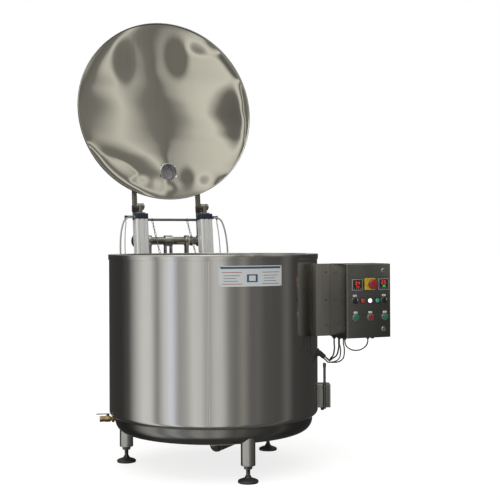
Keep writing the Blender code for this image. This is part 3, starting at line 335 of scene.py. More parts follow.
def prism(outline, low, high, bevel=0.0008, place=Matrix()):
    """A flat outline in a plane's own x and y, given thickness along its z."""
    bm = bmesh.new()
    face = bm.faces.new([bm.verts.new((x, y, low)) for x, y in outline])
    grown = bmesh.ops.extrude_face_region(bm, geom=[face])
    bmesh.ops.translate(bm, vec=(0, 0, high - low),
                        verts=[v for v in grown["geom"] if isinstance(v, bmesh.types.BMVert)])
    if bevel:
        rims = [e for e in bm.edges if abs(e.verts[0].co.z - e.verts[1].co.z) < 1e-9]
        bmesh.ops.bevel(bm, geom=rims, offset=bevel, segments=2, profile=0.5, affect="EDGES")
    bm.transform(place)
    return bm


def on_x(x):
    """Places a prism whose outline is in (y, z), with its thickness along X about x."""
    return Matrix.Translation((x, 0, 0)) @ Matrix(((0, 0, 1, 0), (1, 0, 0, 0), (0, 1, 0, 0), (0, 0, 0, 1)))


# Stands a prism up, so that its outline is in (x, z) and its thickness runs along -Y.
FACING_FRONT = Matrix(((1, 0, 0, 0), (0, 0, -1, 0), (0, 1, 0, 0), (0, 0, 0, 1)))


def tube(points, radius, steps=16, bore=0.0, closed=False):
    """A round tube along points, with caps, or with a bore."""
    bm = bmesh.new()
    route = [Vector(p) for p in points]
    count = len(route)
    side, rings = None, []
    for i in range(count):
        if closed:
            ahead = route[(i + 1) % count] - route[i - 1]
        else:
            ahead = route[min(i + 1, count - 1)] - route[max(i - 1, 0)]
        ahead.normalize()
        if side is None:
            side = ahead.orthogonal().normalized()
        side = (side - ahead * side.dot(ahead)).normalized()
        across = ahead.cross(side)
        for r in ((radius, bore) if bore else (radius,)):
            ring = []
            for k in range(steps):
                a = 2 * math.pi * k / steps
                ring.append(bm.verts.new(route[i] + (side * math.cos(a) + across * math.sin(a)) * r))
            rings.append(ring)
    shells = [rings[0::2], rings[1::2]] if bore else [rings]
    walls = [pair for shell in shells for pair in zip(shell, shell[1:])]
    if closed:
        walls += [(shell[-1], shell[0]) for shell in shells]
    elif bore:
        walls += [(shells[0][0], shells[1][0]), (shells[0][-1], shells[1][-1])]
    else:
        bm.faces.new(rings[0])
        bm.faces.new(rings[-1])
    for a, b in walls:
        for k in range(steps):
            n = (k + 1) % steps
            bm.faces.new((a[k], a[n], b[n], b[k]))
    return bm


def nut(at, along, radius, length, bore=0.0):
    """A six-sided nut with chamfered corners."""
    outline = [(bore, 0), (radius, 0), (radius, length), (bore, length)]
    return lathe(eased(outline, 0.0006, 2, () if bore else (0, 3)), 6, aimed(at, along), bool(bore))


def screw(at, along, radius, height=None):
    """A domed screw head with a round drive recess."""
    tall = height or radius * 0.55
    return lathe([(0, tall * 0.35), (radius * 0.42, tall * 0.35), (radius * 0.46, tall * 0.95),
                  (radius * 0.60, tall), (radius * 0.88, tall * 0.72), (radius, tall * 0.30),
                  (radius, -0.0004), (0, -0.0004)], 20, aimed(at, along), False)


def joined(*parts):
    """One bmesh from several."""
    whole = bmesh.new()
    for part in parts:
        mesh = bpy.data.meshes.new("part")
        part.to_mesh(mesh)
        whole.from_mesh(mesh)
        part.free()
        bpy.data.meshes.remove(mesh)
    return whole


def emit(name, bm, material, body="root", nodes=(), smooth=32, rides=True):
    """Make an object of a bmesh drawn about the tank's axis, and let it ride on a body."""
    bm.transform(TO_ROW)
    bmesh.ops.recalc_face_normals(bm, faces=bm.faces[:])
    mesh = bpy.data.meshes.new(name)
    bm.to_mesh(mesh)
    bm.free()
    mesh.polygons.foreach_set("use_smooth", [True] * len(mesh.polygons))
    mesh.set_sharp_from_angle(angle=math.radians(smooth))
    mesh.materials.append(material)
    made = bpy.data.objects.new(name, mesh)
    bpy.context.scene.collection.objects.link(made)
    if rides:
        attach(made, body)
    if nodes:
        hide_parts(*nodes)
    return made


def smooth_route(points, spacing):
    """Points at an even spacing along a smooth curve through the given ones, and its length."""
    knots = [Vector(p) for p in points]
    ends = [2 * knots[0] - knots[1]] + knots + [2 * knots[-1] - knots[-2]]
    fine = []
    for a, b, c, d in zip(ends, ends[1:], ends[2:], ends[3:]):
        for i in range(16):
            t = i / 16
            fine.append(0.5 * (2 * b + (c - a) * t + (2 * a - 5 * b + 4 * c - d) * t ** 2
                               + (3 * b - a - 3 * c + d) * t ** 3))
    fine.append(knots[-1])
    travelled = [0.0]
    for a, b in zip(fine, fine[1:]):
        travelled.append(travelled[-1] + (b - a).length)
    count = max(2, round(travelled[-1] / spacing))
    evened, k = [], 0
    for i in range(count + 1):
        want = travelled[-1] * i / count
        while k < len(fine) - 2 and travelled[k + 1] < want:
            k += 1
        share = (want - travelled[k]) / (travelled[k + 1] - travelled[k])
        evened.append(fine[k].lerp(fine[k + 1], share))
    return evened, travelled[-1]


# ---- cords -----------------------------------------------------------------------------
def lay_cord(name, points, radius, material, body):
    """A hose or cable from one fitting to another, along the route of its CAD node."""
    route, length = smooth_route([Vector(p) + AXIS for p in points], 0.005)
    curve = bpy.data.curves.new(name, "CURVE")
    curve.dimensions = "3D"
    curve.bevel_depth = radius
    curve.bevel_resolution = 4
    curve.use_fill_caps = True
    spline = curve.splines.new("POLY")
    spline.points.add(len(route) - 1)
    for point, place in zip(spline.points, route):
        point.co = (*place, 1.0)
    curve.materials.append(material)
    made = bpy.data.objects.new(name, curve)
    bpy.context.scene.collection.objects.link(made)
    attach(made, body)
    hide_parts(name.replace("drawn_", ""))


def opened(y, z):
    """Where a point of the closed lid goes when the lid opens, as (y, z)."""
    a = -math.radians(LID_OPEN)
    dy, dz = y - HINGE_Y, z - HINGE_Z
    return (HINGE_Y + dy * math.cos(a) - dz * math.sin(a), HINGE_Z + dy * math.sin(a) + dz * math.cos(a))


pin = opened(PIN_Y, PIN_Z)
REACH = math.hypot(pin[0] - SWING.y, pin[1] - SWING.z)
LEAN = math.atan2(pin[0] - SWING.y, pin[1] - SWING.z)
HEAD, TAIL = REACH - HEAD_DROP, REACH - HEAD_DROP - BODY_LENGTH
LIFT_FRAME = Matrix.Translation(SWING) @ Matrix.Rotation(-LEAN, 4, "X")


def make_hoses():
    for side, name in ((-1, "left"), (1, "right")):
        skin = side * (LIFT_X + BODY_HALF)
        tip, port = skin + side * 0.036, skin + side * 0.0103
        top, low = HEAD - 0.018, TAIL + 0.018
        middle, bow = (top + low) / 2, (top - low) / 2
        steps = ((0.0, 1.00), (0.010, 1.00), (0.020, 1.00), (0.038, 0.92), (0.048, 0.77),
                 (0.056, 0.56), (0.061, 0.30), (0.063, 0.00))
        upper = [(port + side * out, -0.012, middle + bow * share) for out, share in steps]
        lower = [(px, py, 2 * middle - pz) for px, py, pz in upper[-2::-1]]
        lay_cord(f"drawn_air_hose_{name}", [LIFT_FRAME @ Vector(p) for p in upper + lower], 0.004,
                 HOSE, "barrels")
        start, end = HEAD - 0.0223, TAIL + 0.0223
        pilot = [(tip, start), (tip, start - 0.01), (tip, start - 0.02),
                 (tip + side * 0.006, start - 0.07), (tip + side * 0.009, middle),
                 (tip + side * 0.006, end + 0.07), (tip, end + 0.02), (tip, end + 0.01), (tip, end)]
        lay_cord(f"drawn_pilot_hose_{name}", [LIFT_FRAME @ Vector((x, 0.012, z)) for x, z in pilot],
                 0.0025, HOSE_PALE, "barrels")


out = radial(GROMMET_ANGLE)
slope = math.radians(GROMMET_SLOPE)
GROMMET_AIM = out * math.cos(slope) + Vector((0, 0, math.sin(slope)))
GROMMET_MOUTH = out * (TANK_RADIUS + 0.004) + Vector((0, 0, GROMMET_Z)) + GROMMET_AIM * 0.032


def make_cables():
    side = GROMMET_AIM.cross(Vector((0, 0, 1))).normalized()
    rise = side.cross(GROMMET_AIM)
    start = GLAND_LOW - 0.0003
    plan = (
        ("power_cable_a", 0, 0.0033, (0.0048, 0.003),
         ((0.4315, -0.263, 0.490), (0.4315, -0.252, 0.462), (0.428, -0.234, 0.4465))),
        ("power_cable_b", 1, 0.0033, (-0.0048, 0.003),
         ((0.4515, -0.262, 0.490), (0.449, -0.249, 0.460), (0.440, -0.229, 0.4455))),
        ("signal_cable_a", 2, 0.0027, (0.0036, -0.0056),
         ((0.442, -0.298, 0.487), (0.445, -0.284, 0.455), (0.439, -0.256, 0.436))),
        ("signal_cable_b", 3, 0.0027, (-0.0036, -0.0056),
         ((0.460, -0.297, 0.485), (0.463, -0.280, 0.450), (0.452, -0.250, 0.4315))))
    for name, gland, radius, (across, up), through in plan:
        x, y, _ = GLANDS[gland]
        end = GROMMET_MOUTH + GROMMET_AIM * 0.0003 + side * across + rise * up
        lay_cord(f"drawn_{name}", [
            (x, y, start), (x, y, start - 0.010), (x, y, start - 0.019), *through,
            end + GROMMET_AIM * 0.024, end + GROMMET_AIM * 0.016, end + GROMMET_AIM * 0.008, end], radius,
            SHEATH, "root")
    (x0, y, _), (x1, _, _) = GLANDS[4], GLANDS[5]
    middle, half = (x0 + x1) / 2, (x1 - x0) / 2
    shape = ((-1.0, 0.0), (-1.0, -0.006), (-0.99, -0.012), (-0.87, -0.026), (-0.50, -0.040),
             (0.0, -0.045))
    left = [(middle + half * share, y, start + drop) for share, drop in shape]
    right = [(2 * middle - px, py, pz) for px, py, pz in left[-2::-1]]
    lay_cord("drawn_loop_cable", left + right, 0.0027, SHEATH, "root")


make_hoses()
make_cables()


# ---- the tank --------------------------------------------------------------------------
SEAM_ANGLE = math.radians(-113.1)


def shell_wave(a, z):
    """Faint unevenness of rolled sheet, and the groove of its upright weld."""
    off = (a - SEAM_ANGLE + math.pi) % (2 * math.pi) - math.pi
    groove = -0.0007 * math.exp(-((off * TANK_RADIUS / 0.0011) ** 2))
    wave = noise.noise(Vector((math.cos(a) * 2.2, math.sin(a) * 2.2, z * 1.1)))
    wave += 0.4 * noise.noise(Vector((math.cos(a) * 6.5, math.sin(a) * 6.5, z * 1.6 + 7)))
    return -0.0006 + 0.0004 * wave + groove


def dished_sheet(shape, top, hole):
    """A wall of sheet with a dished end, open at the top, with a hole on its axis."""
    radius, crown, knuckle, bottom = shape
    outside = dish_curve(radius, crown, knuckle, bottom, hole)
    inside = dish_curve(radius - SHEET, crown - SHEET, knuckle - SHEET, bottom + SHEET, hole)
    return lathe(outside + [(radius, top), (radius - SHEET, top)] + inside[::-1], 192)


def make_tank():
    top = RIM_Z - SHEET
    corner = (TANK_RADIUS - CORNER, SEAM_Z + CORNER)
    walls = [TANK_RADIUS] * 24
    heights = [top - (top - corner[1]) * k / 24 for k in range(24)]
    outside = list(zip(walls, heights)) + arc(corner, CORNER, 0, -90, 12)
    inside = arc(corner, CORNER - 0.002, -90, 0, 12) + [(TANK_RADIUS - 0.002, top)]
    angles = sorted([2 * math.pi * k / 240 for k in range(240)]
                    + [(SEAM_ANGLE + k * 0.0006) % (2 * math.pi) for k in range(-7, 8)])
    emit("jacket_shell", lathe(outside + inside, angles=angles, warp=shell_wave), SHELL,
         nodes=("outer_jacket",))

    wide = OUTLET_RADIUS + 0.0035
    dish = dished_sheet(DISH, DISH_TOP, wide)
    emit("dished_bottom", dish, SHADED_DISH_STEEL, nodes=("bottom_dish",))
    bead = lathe(arc((DISH[0] + 0.0003, SEAM_Z - 0.0003), 0.0014, 0, 330, 11), 192)
    emit("seam_weld", bead, DARK_STEEL)

    hole = OUTLET_RADIUS + 0.0003
    vessel = dished_sheet(VESSEL, top, hole)
    emit("vessel_shell", vessel, VESSEL_STEEL, nodes=("inner_vessel",))

    rim = [(MOUTH_RADIUS, top + 0.0003), (MOUTH_RADIUS, RIM_Z), (RIM_RADIUS, RIM_Z),
           (RIM_RADIUS, RIM_LOW), (RIM_RADIUS - 0.002, RIM_LOW), (RIM_RADIUS - 0.002, top + 0.0003)]
    emit("rim_band", lathe(eased(rim, 0.0016, 4, (0, 4, 5)), 240), SHELL,
         nodes=("top_rim",))
    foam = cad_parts["insulation_foam"]
    foam.data.materials.clear()
    foam.data.materials.append(FOAM)


def curved_patch(low_a, high_a, low_z, high_z, base, thick, steps=24):
    """A thin plate bent round the tank, between two angles and two heights."""
    bm = bmesh.new()
    rings = []
    for r, z in ((base, low_z), (base + thick, low_z), (base + thick, high_z), (base, high_z)):
        rings.append([bm.verts.new(radial(low_a + (high_a - low_a) * k / steps) * r + Vector((0, 0, z)))
                      for k in range(steps + 1)])
    for a, b in zip(rings, rings[1:] + rings[:1]):
        for k in range(steps):
            bm.faces.new((a[k], a[k + 1], b[k + 1], b[k]))
    bm.faces.new([ring[0] for ring in rings])
    bm.faces.new([ring[-1] for ring in rings])
    edges = [e for e in bm.edges if abs(e.calc_face_angle(0)) > 0.6]
    bmesh.ops.bevel(bm, geom=edges, offset=thick * 0.3, segments=2, profile=0.5, affect="EDGES")
    return bm


def make_label():
    """A blank rating plate: a grey field, a navy rule and ring, and thin red and dark rules."""
    base = TANK_RADIUS + 0.0001
    emit("rating_plate", curved_patch(-107.8, -73.2, 0.760, 0.839, base, 0.0009), WHITE,
         nodes=("label_plate",))
    face = base + 0.0008
    navy = [curved_patch(-106.9, -74.1, 0.8275, 0.8355, face, 0.0003)]
    for low_a, high_a, low_z, high_z in ((-93.4, -92.3, 0.776, 0.806), (-88.7, -87.6, 0.776, 0.806),
                                         (-93.4, -87.6, 0.776, 0.7805), (-93.4, -87.6, 0.8015, 0.806)):
        navy.append(curved_patch(low_a, high_a, low_z, high_z, face, 0.0003, 8))
    emit("rating_navy", joined(*navy), NAVY)
    red = [curved_patch(low_a, high_a, low_z, low_z + 0.0022, face, 0.0003, 12)
           for low_a, high_a in ((-106.2, -96.0), (-85.0, -74.8)) for low_z in (0.7685, 0.8125)]
    emit("rating_red", joined(*red), MAROON)
    lines = []
    for row in range(3):
        z = 0.8015 - row * 0.0105
        for start, end in ((-105.4, -97.2), (-84.2, -75.8)):
            shown = end - 0.9 * ((row * 2 + int(start)) % 3)
            lines.append(curved_patch(start, shown, z - 0.0011, z + 0.0011, face, 0.0002, 8))
    emit("rating_lines", joined(*lines), INK)
    rivets = [lathe([(0.0022, 0), (0.0018, 0.0008), (0.0, 0.0012)], 16,
                    aimed(radial(a) * (base + 0.0006) + Vector((0, 0, z)), radial(a)), False)
              for a in (-107.2, -73.8) for z in (0.7635, 0.8355)]
    emit("rating_rivets", joined(*rivets), ZINC)


def threaded(radius, low, high, pitch, at):
    """A threaded stem as a real helix of rounded ridges."""
    steps, bm, rings = 24, bmesh.new(), []
    count = int((high - low) / pitch * 4)
    for i in range(count + 1):
        ring = []
        for k in range(steps):
            z = low + (high - low) * i / count
            wave = math.sin(2 * math.pi * (z / pitch - k / steps))
            r = radius - 0.00045 + 0.00045 * wave
            a = 2 * math.pi * k / steps
            ring.append(bm.verts.new(at + Vector((r * math.cos(a), r * math.sin(a), z))))
        rings.append(ring)
    for a, b in zip(rings, rings[1:]):
        for k in range(steps):
            n = (k + 1) % steps
            bm.faces.new((a[k], a[n], b[n], b[k]))
    bm.faces.new(rings[0])
    bm.faces.new(rings[-1])
    return bm


def dish_height(radius):
    """Height of the dish's underside at a distance from the tank's axis."""
    curve = dish_curve(*DISH)
    for (r, z), (wider, higher) in zip(curve, curve[1:]):
        if radius <= wider:
            return z + (higher - z) * (radius - r) / (wider - r)
    return SEAM_Z


def make_legs():
    for number, angle in enumerate(LEG_ANGLES, 1):
        at = radial(angle) * LEG_CIRCLE
        place = Matrix.Translation(at)
        leg = lathe(eased([(0.0085, 0.100), (0.0085, LEG_BOTTOM), (LEG_RADIUS, LEG_BOTTOM),
                           (LEG_RADIUS, 0.190),
                           (0.0255, 0.190), (0.0255, 0.110)], 0.0030, 4, (0, 3, 4, 5)), 56, place)
        for vertex in leg.verts:
            if vertex.co.z > 0.150:
                vertex.co.z = dish_height(vertex.co.xy.length) + 0.0006
        emit(f"leg_{number}", leg, SATIN, nodes=(f"leg_tube_{number}",))
        ring = lathe(arc((LEG_RADIUS - 0.0008, LEG_BOTTOM + 0.0075), 0.0010, 0, 330, 9), 56, place)
        emit(f"leg_weld_{number}", ring, DARK_STEEL)
        pad = [(0, 0.0), (0.0385, 0.0), (0.0402, 0.0030), (0.0398, 0.0085), (0.0360, 0.0115),
               (0.0260, 0.0155), (0.0165, 0.0187), (0.0128, 0.0215), (0.0120, 0.0255), (0.0105, 0.0275),
               (0, 0.0275)]
        foot = lathe(pad, 56, place, False)
        emit(f"foot_pad_{number}", foot, RUBBER, f"foot_{number}",
             (f"levelling_foot_{number}",), smooth=50)
        stem = threaded(0.0084, 0.0270, 0.136, 0.0018, at)
        emit(f"foot_stem_{number}", stem, DARK_ZINC, f"foot_{number}", smooth=50)
        lock = joined(nut(at + Vector((0, 0, 0.0548)), (0, 0, 1), 0.0180, 0.0106, 0.0085),
                      rod(at + Vector((0, 0, 0.0527)), at + Vector((0, 0, 0.0550)), 0.0158, 0.0004, 40,
                          bore=0.0085))
        emit(f"foot_nut_{number}", lock, DARK_ZINC, f"foot_{number}",
             (f"foot_lock_nut_{number}",))


def make_outlet():
    along, up = radial(OUTLET_AZIMUTH), Vector((0, 0, 1))
    route = [up * 0.1357, up * 0.115, up * (OUTLET_Z + OUTLET_BEND + 0.001)]
    for i in range(1, 16):
        a = math.radians(90 * i / 16)
        route.append(along * OUTLET_BEND * (1 - math.cos(a))
                     + up * (OUTLET_Z + OUTLET_BEND * (1 - math.sin(a))))
    level = up * OUTLET_Z
    route += [along * OUTLET_BEND + level, along * 0.20 + level, along * OUTLET_REACH + level]
    # The outlet pipe takes the darkened dish steel: painted shade under the tank.
    emit("outlet_run", tube(route, OUTLET_RADIUS, 48, OUTLET_BORE), SHADED_DISH_STEEL,
         nodes=("outlet_pipe",))
    beads = [lathe(arc((OUTLET_RADIUS - 0.0002, 0), 0.0009, 0, 330, 9), 48, aimed(at, way))
             for at, way in ((up * (OUTLET_Z + OUTLET_BEND + 0.002), up), (along * 0.032 + level, along))]
    emit("outlet_welds", joined(*beads), SATIN)

    near = along * (OUTLET_REACH + 0.0003) + level
    turn = aimed(near, along)
    halves = [lathe(eased([(OUTLET_BORE, a), (0.0338, a), (0.0338, b), (OUTLET_BORE, b)], 0.0018, 3), 64,
                    turn)
              for a, b in ((0.0, 0.0134), (0.0146, 0.028))]
    seal = lathe([(OUTLET_BORE, 0.0130), (0.0325, 0.0130), (0.0325, 0.0150), (OUTLET_BORE, 0.0150)], 64,
                 turn)
    bolts = []
    for k in range(4):
        a = math.radians(45 + 90 * k)
        spot = turn @ Vector((0.0285 * math.cos(a), 0.0285 * math.sin(a), 0.028))
        bolts.append(screw(spot, along, 0.0032))
    liner = lathe(eased([(OUTLET_BORE, 0.027), (OUTLET_RADIUS, 0.027), (OUTLET_RADIUS, 0.0455),
                         (0.0255, 0.0470), (0.0255, 0.0523), (OUTLET_BORE, 0.0523)], 0.0006, 2, (0, 1, 5)),
                  56, turn)
    seat = near + along * 0.014
    neck = rod(seat + up * 0.030, seat + up * 0.0438, 0.011, 0.001, 40, bore=0.0052)
    emit("valve_body", joined(*halves, *bolts, liner, neck), SATIN,
         nodes=("outlet_valve_body",))
    emit("valve_seal", seal, RUBBER)
    disc = joined(rod(seat - along * 0.0016, seat + along * 0.0016, 0.0183, 0.0010, 56),
                  rod(seat - up * 0.018, seat + up * 0.052, 0.0048, 0.0006, 28))
    emit("valve_disc", disc, SATIN, "outlet_valve", ("outlet_valve_disc",))
    facing = Matrix.Translation(seat) @ Matrix.Rotation(math.radians(OUTLET_AZIMUTH), 4, "Z")
    grip = [(-0.010, 0.0), (-0.0105, -0.030), (-0.0085, -0.060), (-0.0095, -0.100), (-0.0085, -0.122),
            (0.0085, -0.122), (0.0095, -0.100), (0.0085, -0.060), (0.0105, -0.030), (0.010, 0.0)]
    lever = prism(eased(grip, 0.004, 3), 0.0477, 0.0553, 0.0018, facing)
    hub = rod(seat + up * 0.0447, seat + up * 0.0573, 0.0120, 0.0015, 48)
    cap = screw(seat + up * 0.0572, up, 0.0038, 0.0002)
    emit("valve_handle", joined(lever, hub), PLASTIC, "outlet_valve",
         ("outlet_valve_handle",))
    emit("valve_handle_screw", cap, ZINC, "outlet_valve")


make_tank()
make_label()
make_legs()
make_outlet()


# ---- lid -------------------------------------------------------------------------------
LID_FRAME = (Matrix.Translation((0, HINGE_Y, HINGE_Z)) @ Matrix.Rotation(-math.radians(LID_OPEN), 4, "X")
             @ Matrix.Translation((0, -HINGE_Y, -HINGE_Z)))


# The oil-canned sheet mirrors the room in a broad dark band with lighter fields beside it.
# Each edge between the fields wanders across the lid: (y, x) pairs, as shares of its radius.
FIELD_EDGES = (
    (-1.5, ((-0.50, -1.15), (-0.25, -0.85), (-0.03, -0.68), (0.20, -0.75), (0.36, -0.88),
            (0.47, -0.53), (0.55, -0.29), (0.635, -0.18), (0.72, -0.06))),
    (-0.5, ((-0.914, -0.397), (-0.514, -0.235), (-0.286, -0.235), (-0.086, -0.32), (0.20, -0.235),
            (0.457, -0.088), (0.629, -0.015))),
    (0.5, ((-0.914, 0.015), (-0.714, -0.059), (-0.457, -0.074), (-0.229, 0.03), (-0.057, 0.176),
           (0.086, 0.235), (0.257, 0.176), (0.371, 0.06), (0.514, 0.0), (0.629, -0.01))),
    (1.5, ((-0.80, 1.15), (-0.50, 0.79), (-0.20, 0.54), (-0.05, 0.47), (0.20, 0.56), (0.40, 0.70),
           (0.60, 0.81))))
# Dimples: middle (x, y) and radii as shares of the lid's radius, and the field they show.
DIMPLES = ((-0.47, -0.54, 0.15, 0.31, 0.0), (0.147, -0.63, 0.17, 0.29, 0.0), (0.41, -0.76, 0.16, 0.12, 1.9),
           (0.22, 0.76, 0.11, 0.16, 0.1), (0.44, 0.77, 0.13, 0.09, 2.0), (-0.30, 0.79, 0.09, 0.07, -1.0),
           (-0.13, 0.83, 0.07, 0.07, -1.0), (0.015, 0.87, 0.07, 0.06, -1.0))
FIELD_MIDDLE, FIELD_WIDTH = 38.85, 2.2      # degrees right of the camera, and degrees per field
FIELD_LEAST, FIELD_MOST, LEFT_FALL, RIGHT_RISE = -2.3, 3.2, 1.6, 4.0
TILT = 0.01     # trial slope that finds how far the mirrored direction turns


def along(pairs, at):
    """Value at a place along a list of (place, value) pairs."""
    if at <= pairs[0][0]:
        return pairs[0][1]
    for (low, first), (high, second) in zip(pairs, pairs[1:]):
        if at <= high:
            t = (at - low) / (high - low)
            t = t * t * (3 - 2 * t)
            return first + (second - first) * t
    return pairs[-1][1]


def lid_field(u, v):
    """Which field a point of the lid mirrors, counted from the middle of the dark band."""
    edges = [(along(pairs, v), field) for field, pairs in FIELD_EDGES]
    if u <= edges[0][0]:
        field = -1.5 - LEFT_FALL * (edges[0][0] - u)
    elif u >= edges[-1][0]:
        field = 1.5 + RIGHT_RISE * (u - edges[-1][0])
    else:
        for (low, first), (high, second) in zip(edges, edges[1:]):
            if u <= high:
                field = first + (second - first) * (u - low) / max(high - low, 1e-3)
                break
    for middle_u, middle_v, wide, tall, shown in DIMPLES:
        away = math.hypot((u - middle_u) / wide, (v - middle_v) / tall)
        share = min(1.0, max(0.0, 1.7 - 1.5 * away))
        field += (shown - field) * share * share * (3 - 2 * share)
    return max(FIELD_LEAST, min(FIELD_MOST, field))


def mirrored(x, y, lean):
    """What a point of the open lid mirrors, in degrees right of the camera, when it leans."""
    ahead = (LID_FRAME @ Vector((x, y, LID_TOP)) - CAMERA_AT).normalized()
    back = ahead.reflect((LID_FRAME.to_3x3() @ Vector((lean, 0, -1))).normalized())
    behind = math.atan2(CAMERA_AT.y, CAMERA_AT.x)
    return math.degrees((math.atan2(back.y, back.x) - behind + math.pi) % (2 * math.pi) - math.pi)


LID_CELLS = 110
DENT_LOW, DENT_HIGH = -0.0060, 0.0032


def lid_heights():
    """Heights over a square grid of the lid, from the slope that mirrors each field."""
    step = 2 * LID_RADIUS / LID_CELLS
    rows = []
    for j in range(LID_CELLS + 1):
        v = 2 * j / LID_CELLS - 1
        slopes = []
        for i in range(LID_CELLS + 1):
            u = 2 * i / LID_CELLS - 1
            flat = mirrored(u * LID_RADIUS, v * LID_RADIUS, 0.0)
            tilted = mirrored(u * LID_RADIUS, v * LID_RADIUS, TILT)
            wanted = FIELD_MIDDLE + FIELD_WIDTH * lid_field(u, v)
            slopes.append(TILT * (wanted - flat) / (tilted - flat))
        middle = LID_CELLS // 2
        row = [0.0] * (LID_CELLS + 1)
        for i in range(middle, LID_CELLS):
            row[i + 1] = row[i] + (slopes[i] + slopes[i + 1]) / 2 * step
        for i in range(middle, 0, -1):
            row[i - 1] = row[i] - (slopes[i] + slopes[i - 1]) / 2 * step
        rows.append(row)
    for _ in range(3):
        rows = [[(a + 2 * b + c) / 4 for a, b, c in zip(rows[max(j - 1, 0)], row,
                                                        rows[min(j + 1, LID_CELLS)])]
                for j, row in enumerate(rows)]
    return rows


LID_GRID = lid_heights()


def lid_dent(x, y):
    """Height of the oil-canned sheet, over the closed lid's plane, in metres."""
    i = min(LID_CELLS - 1e-6, max(0.0, (x / LID_RADIUS + 1) / 2 * LID_CELLS))
    j = min(LID_CELLS - 1e-6, max(0.0, (y / LID_RADIUS + 1) / 2 * LID_CELLS))
    i0, j0 = int(i), int(j)
    a, b = i - i0, j - j0
    low = LID_GRID[j0][i0] * (1 - a) + LID_GRID[j0][i0 + 1] * a
    high = LID_GRID[j0 + 1][i0] * (1 - a) + LID_GRID[j0 + 1][i0 + 1] * a
    edge = 1 - min(1.0, math.hypot(x, y) / LID_FLAT) ** 24
    return max(DENT_LOW, min(DENT_HIGH, low * (1 - b) + high * b)) * edge


def lid_sheet(offset, dented):
    """One face of the lid's thin sheet, as rings of points out to the rolled edge."""
    rings = []
    for i in range(1, 73):
        r = LID_FLAT * (i / 72) ** 0.9
        rings.append([(r * math.cos(2 * math.pi * k / 192), r * math.sin(2 * math.pi * k / 192))
                      for k in range(192)])
    bm = bmesh.new()
    grid = [[bm.verts.new((x, y, offset + (lid_dent(x, y) if dented else 0.0))) for x, y in ring]
            for ring in rings]
    hub = bm.verts.new((0, 0, offset + (lid_dent(0, 0) if dented else 0.0)))
    for k in range(192):
        n = (k + 1) % 192
        bm.faces.new((hub, grid[0][k], grid[0][n]))
        for a, b in zip(grid, grid[1:]):
            bm.faces.new((a[k], a[n], b[n], b[k]))
    near = [v for v in bm.verts if math.hypot(v.co.x, v.co.y - NOZZLE_Y) < NOZZLE_RADIUS - 0.001]
    bmesh.ops.delete(bm, geom=near, context="VERTS")
    return bm


def make_lid():
    under = lid_sheet(LID_TOP - LID_UNDER, True)
    upper = lid_sheet(LID_TOP - LID_UPPER, False)
    low, high = LID_LOW, LID_TOP - 0.0003
    edge = lathe(eased([(0.4200, high - 0.0062), (0.4212, high - 0.0050), (0.4212, low), (LID_RADIUS, low),
                        (LID_RADIUS, high), (0.4150, high), (0.4150, high - 0.0028),
                        (0.4200, high - 0.0032)],
                       0.0016, 4, (0, 1, 6, 7)), 240)
    for bm in (under, upper, edge):
        bm.transform(LID_FRAME)
    emit("lid_underside", under, MIRROR, "lid", ("lid_panel",), smooth=60)
    emit("lid_upper_face", upper, SATIN, "lid", smooth=60)
    emit("lid_rolled_edge", edge, SATIN, "lid")
    wall, here = NOZZLE_RADIUS - 0.002, Matrix.Translation((0, NOZZLE_Y, 0))
    pipe_wall = lathe(eased([(wall, 0.8856), (NOZZLE_RADIUS, 0.8856), (NOZZLE_RADIUS, 0.9420),
                             (0.0455, 0.9425),
                             (0.0455, 0.9449), (wall, 0.9449)], 0.0007, 2), 72, here)
    collars = [lathe(arc((NOZZLE_RADIUS + 0.0006, z), 0.0022, 0, 330, 11), 72, here)
               for z in (LID_TOP - 0.0058, LID_TOP - 0.0006)]
    nozzle = joined(pipe_wall, *collars)
    cap = lathe([(0, 0.9456), (0.0350, 0.9456), (0.0358, 0.9451), (0.0447, 0.9451), (0.0455, 0.9458),
                 (0.0455, 0.9472), (0.0447, 0.9478), (0, 0.9478)], 72, here, False)
    for bm in (nozzle, cap):
        bm.transform(LID_FRAME)
    emit("lid_nozzle", nozzle, SATIN, "lid")
    emit("lid_nozzle_cap", cap, CAP_STEEL, "lid")


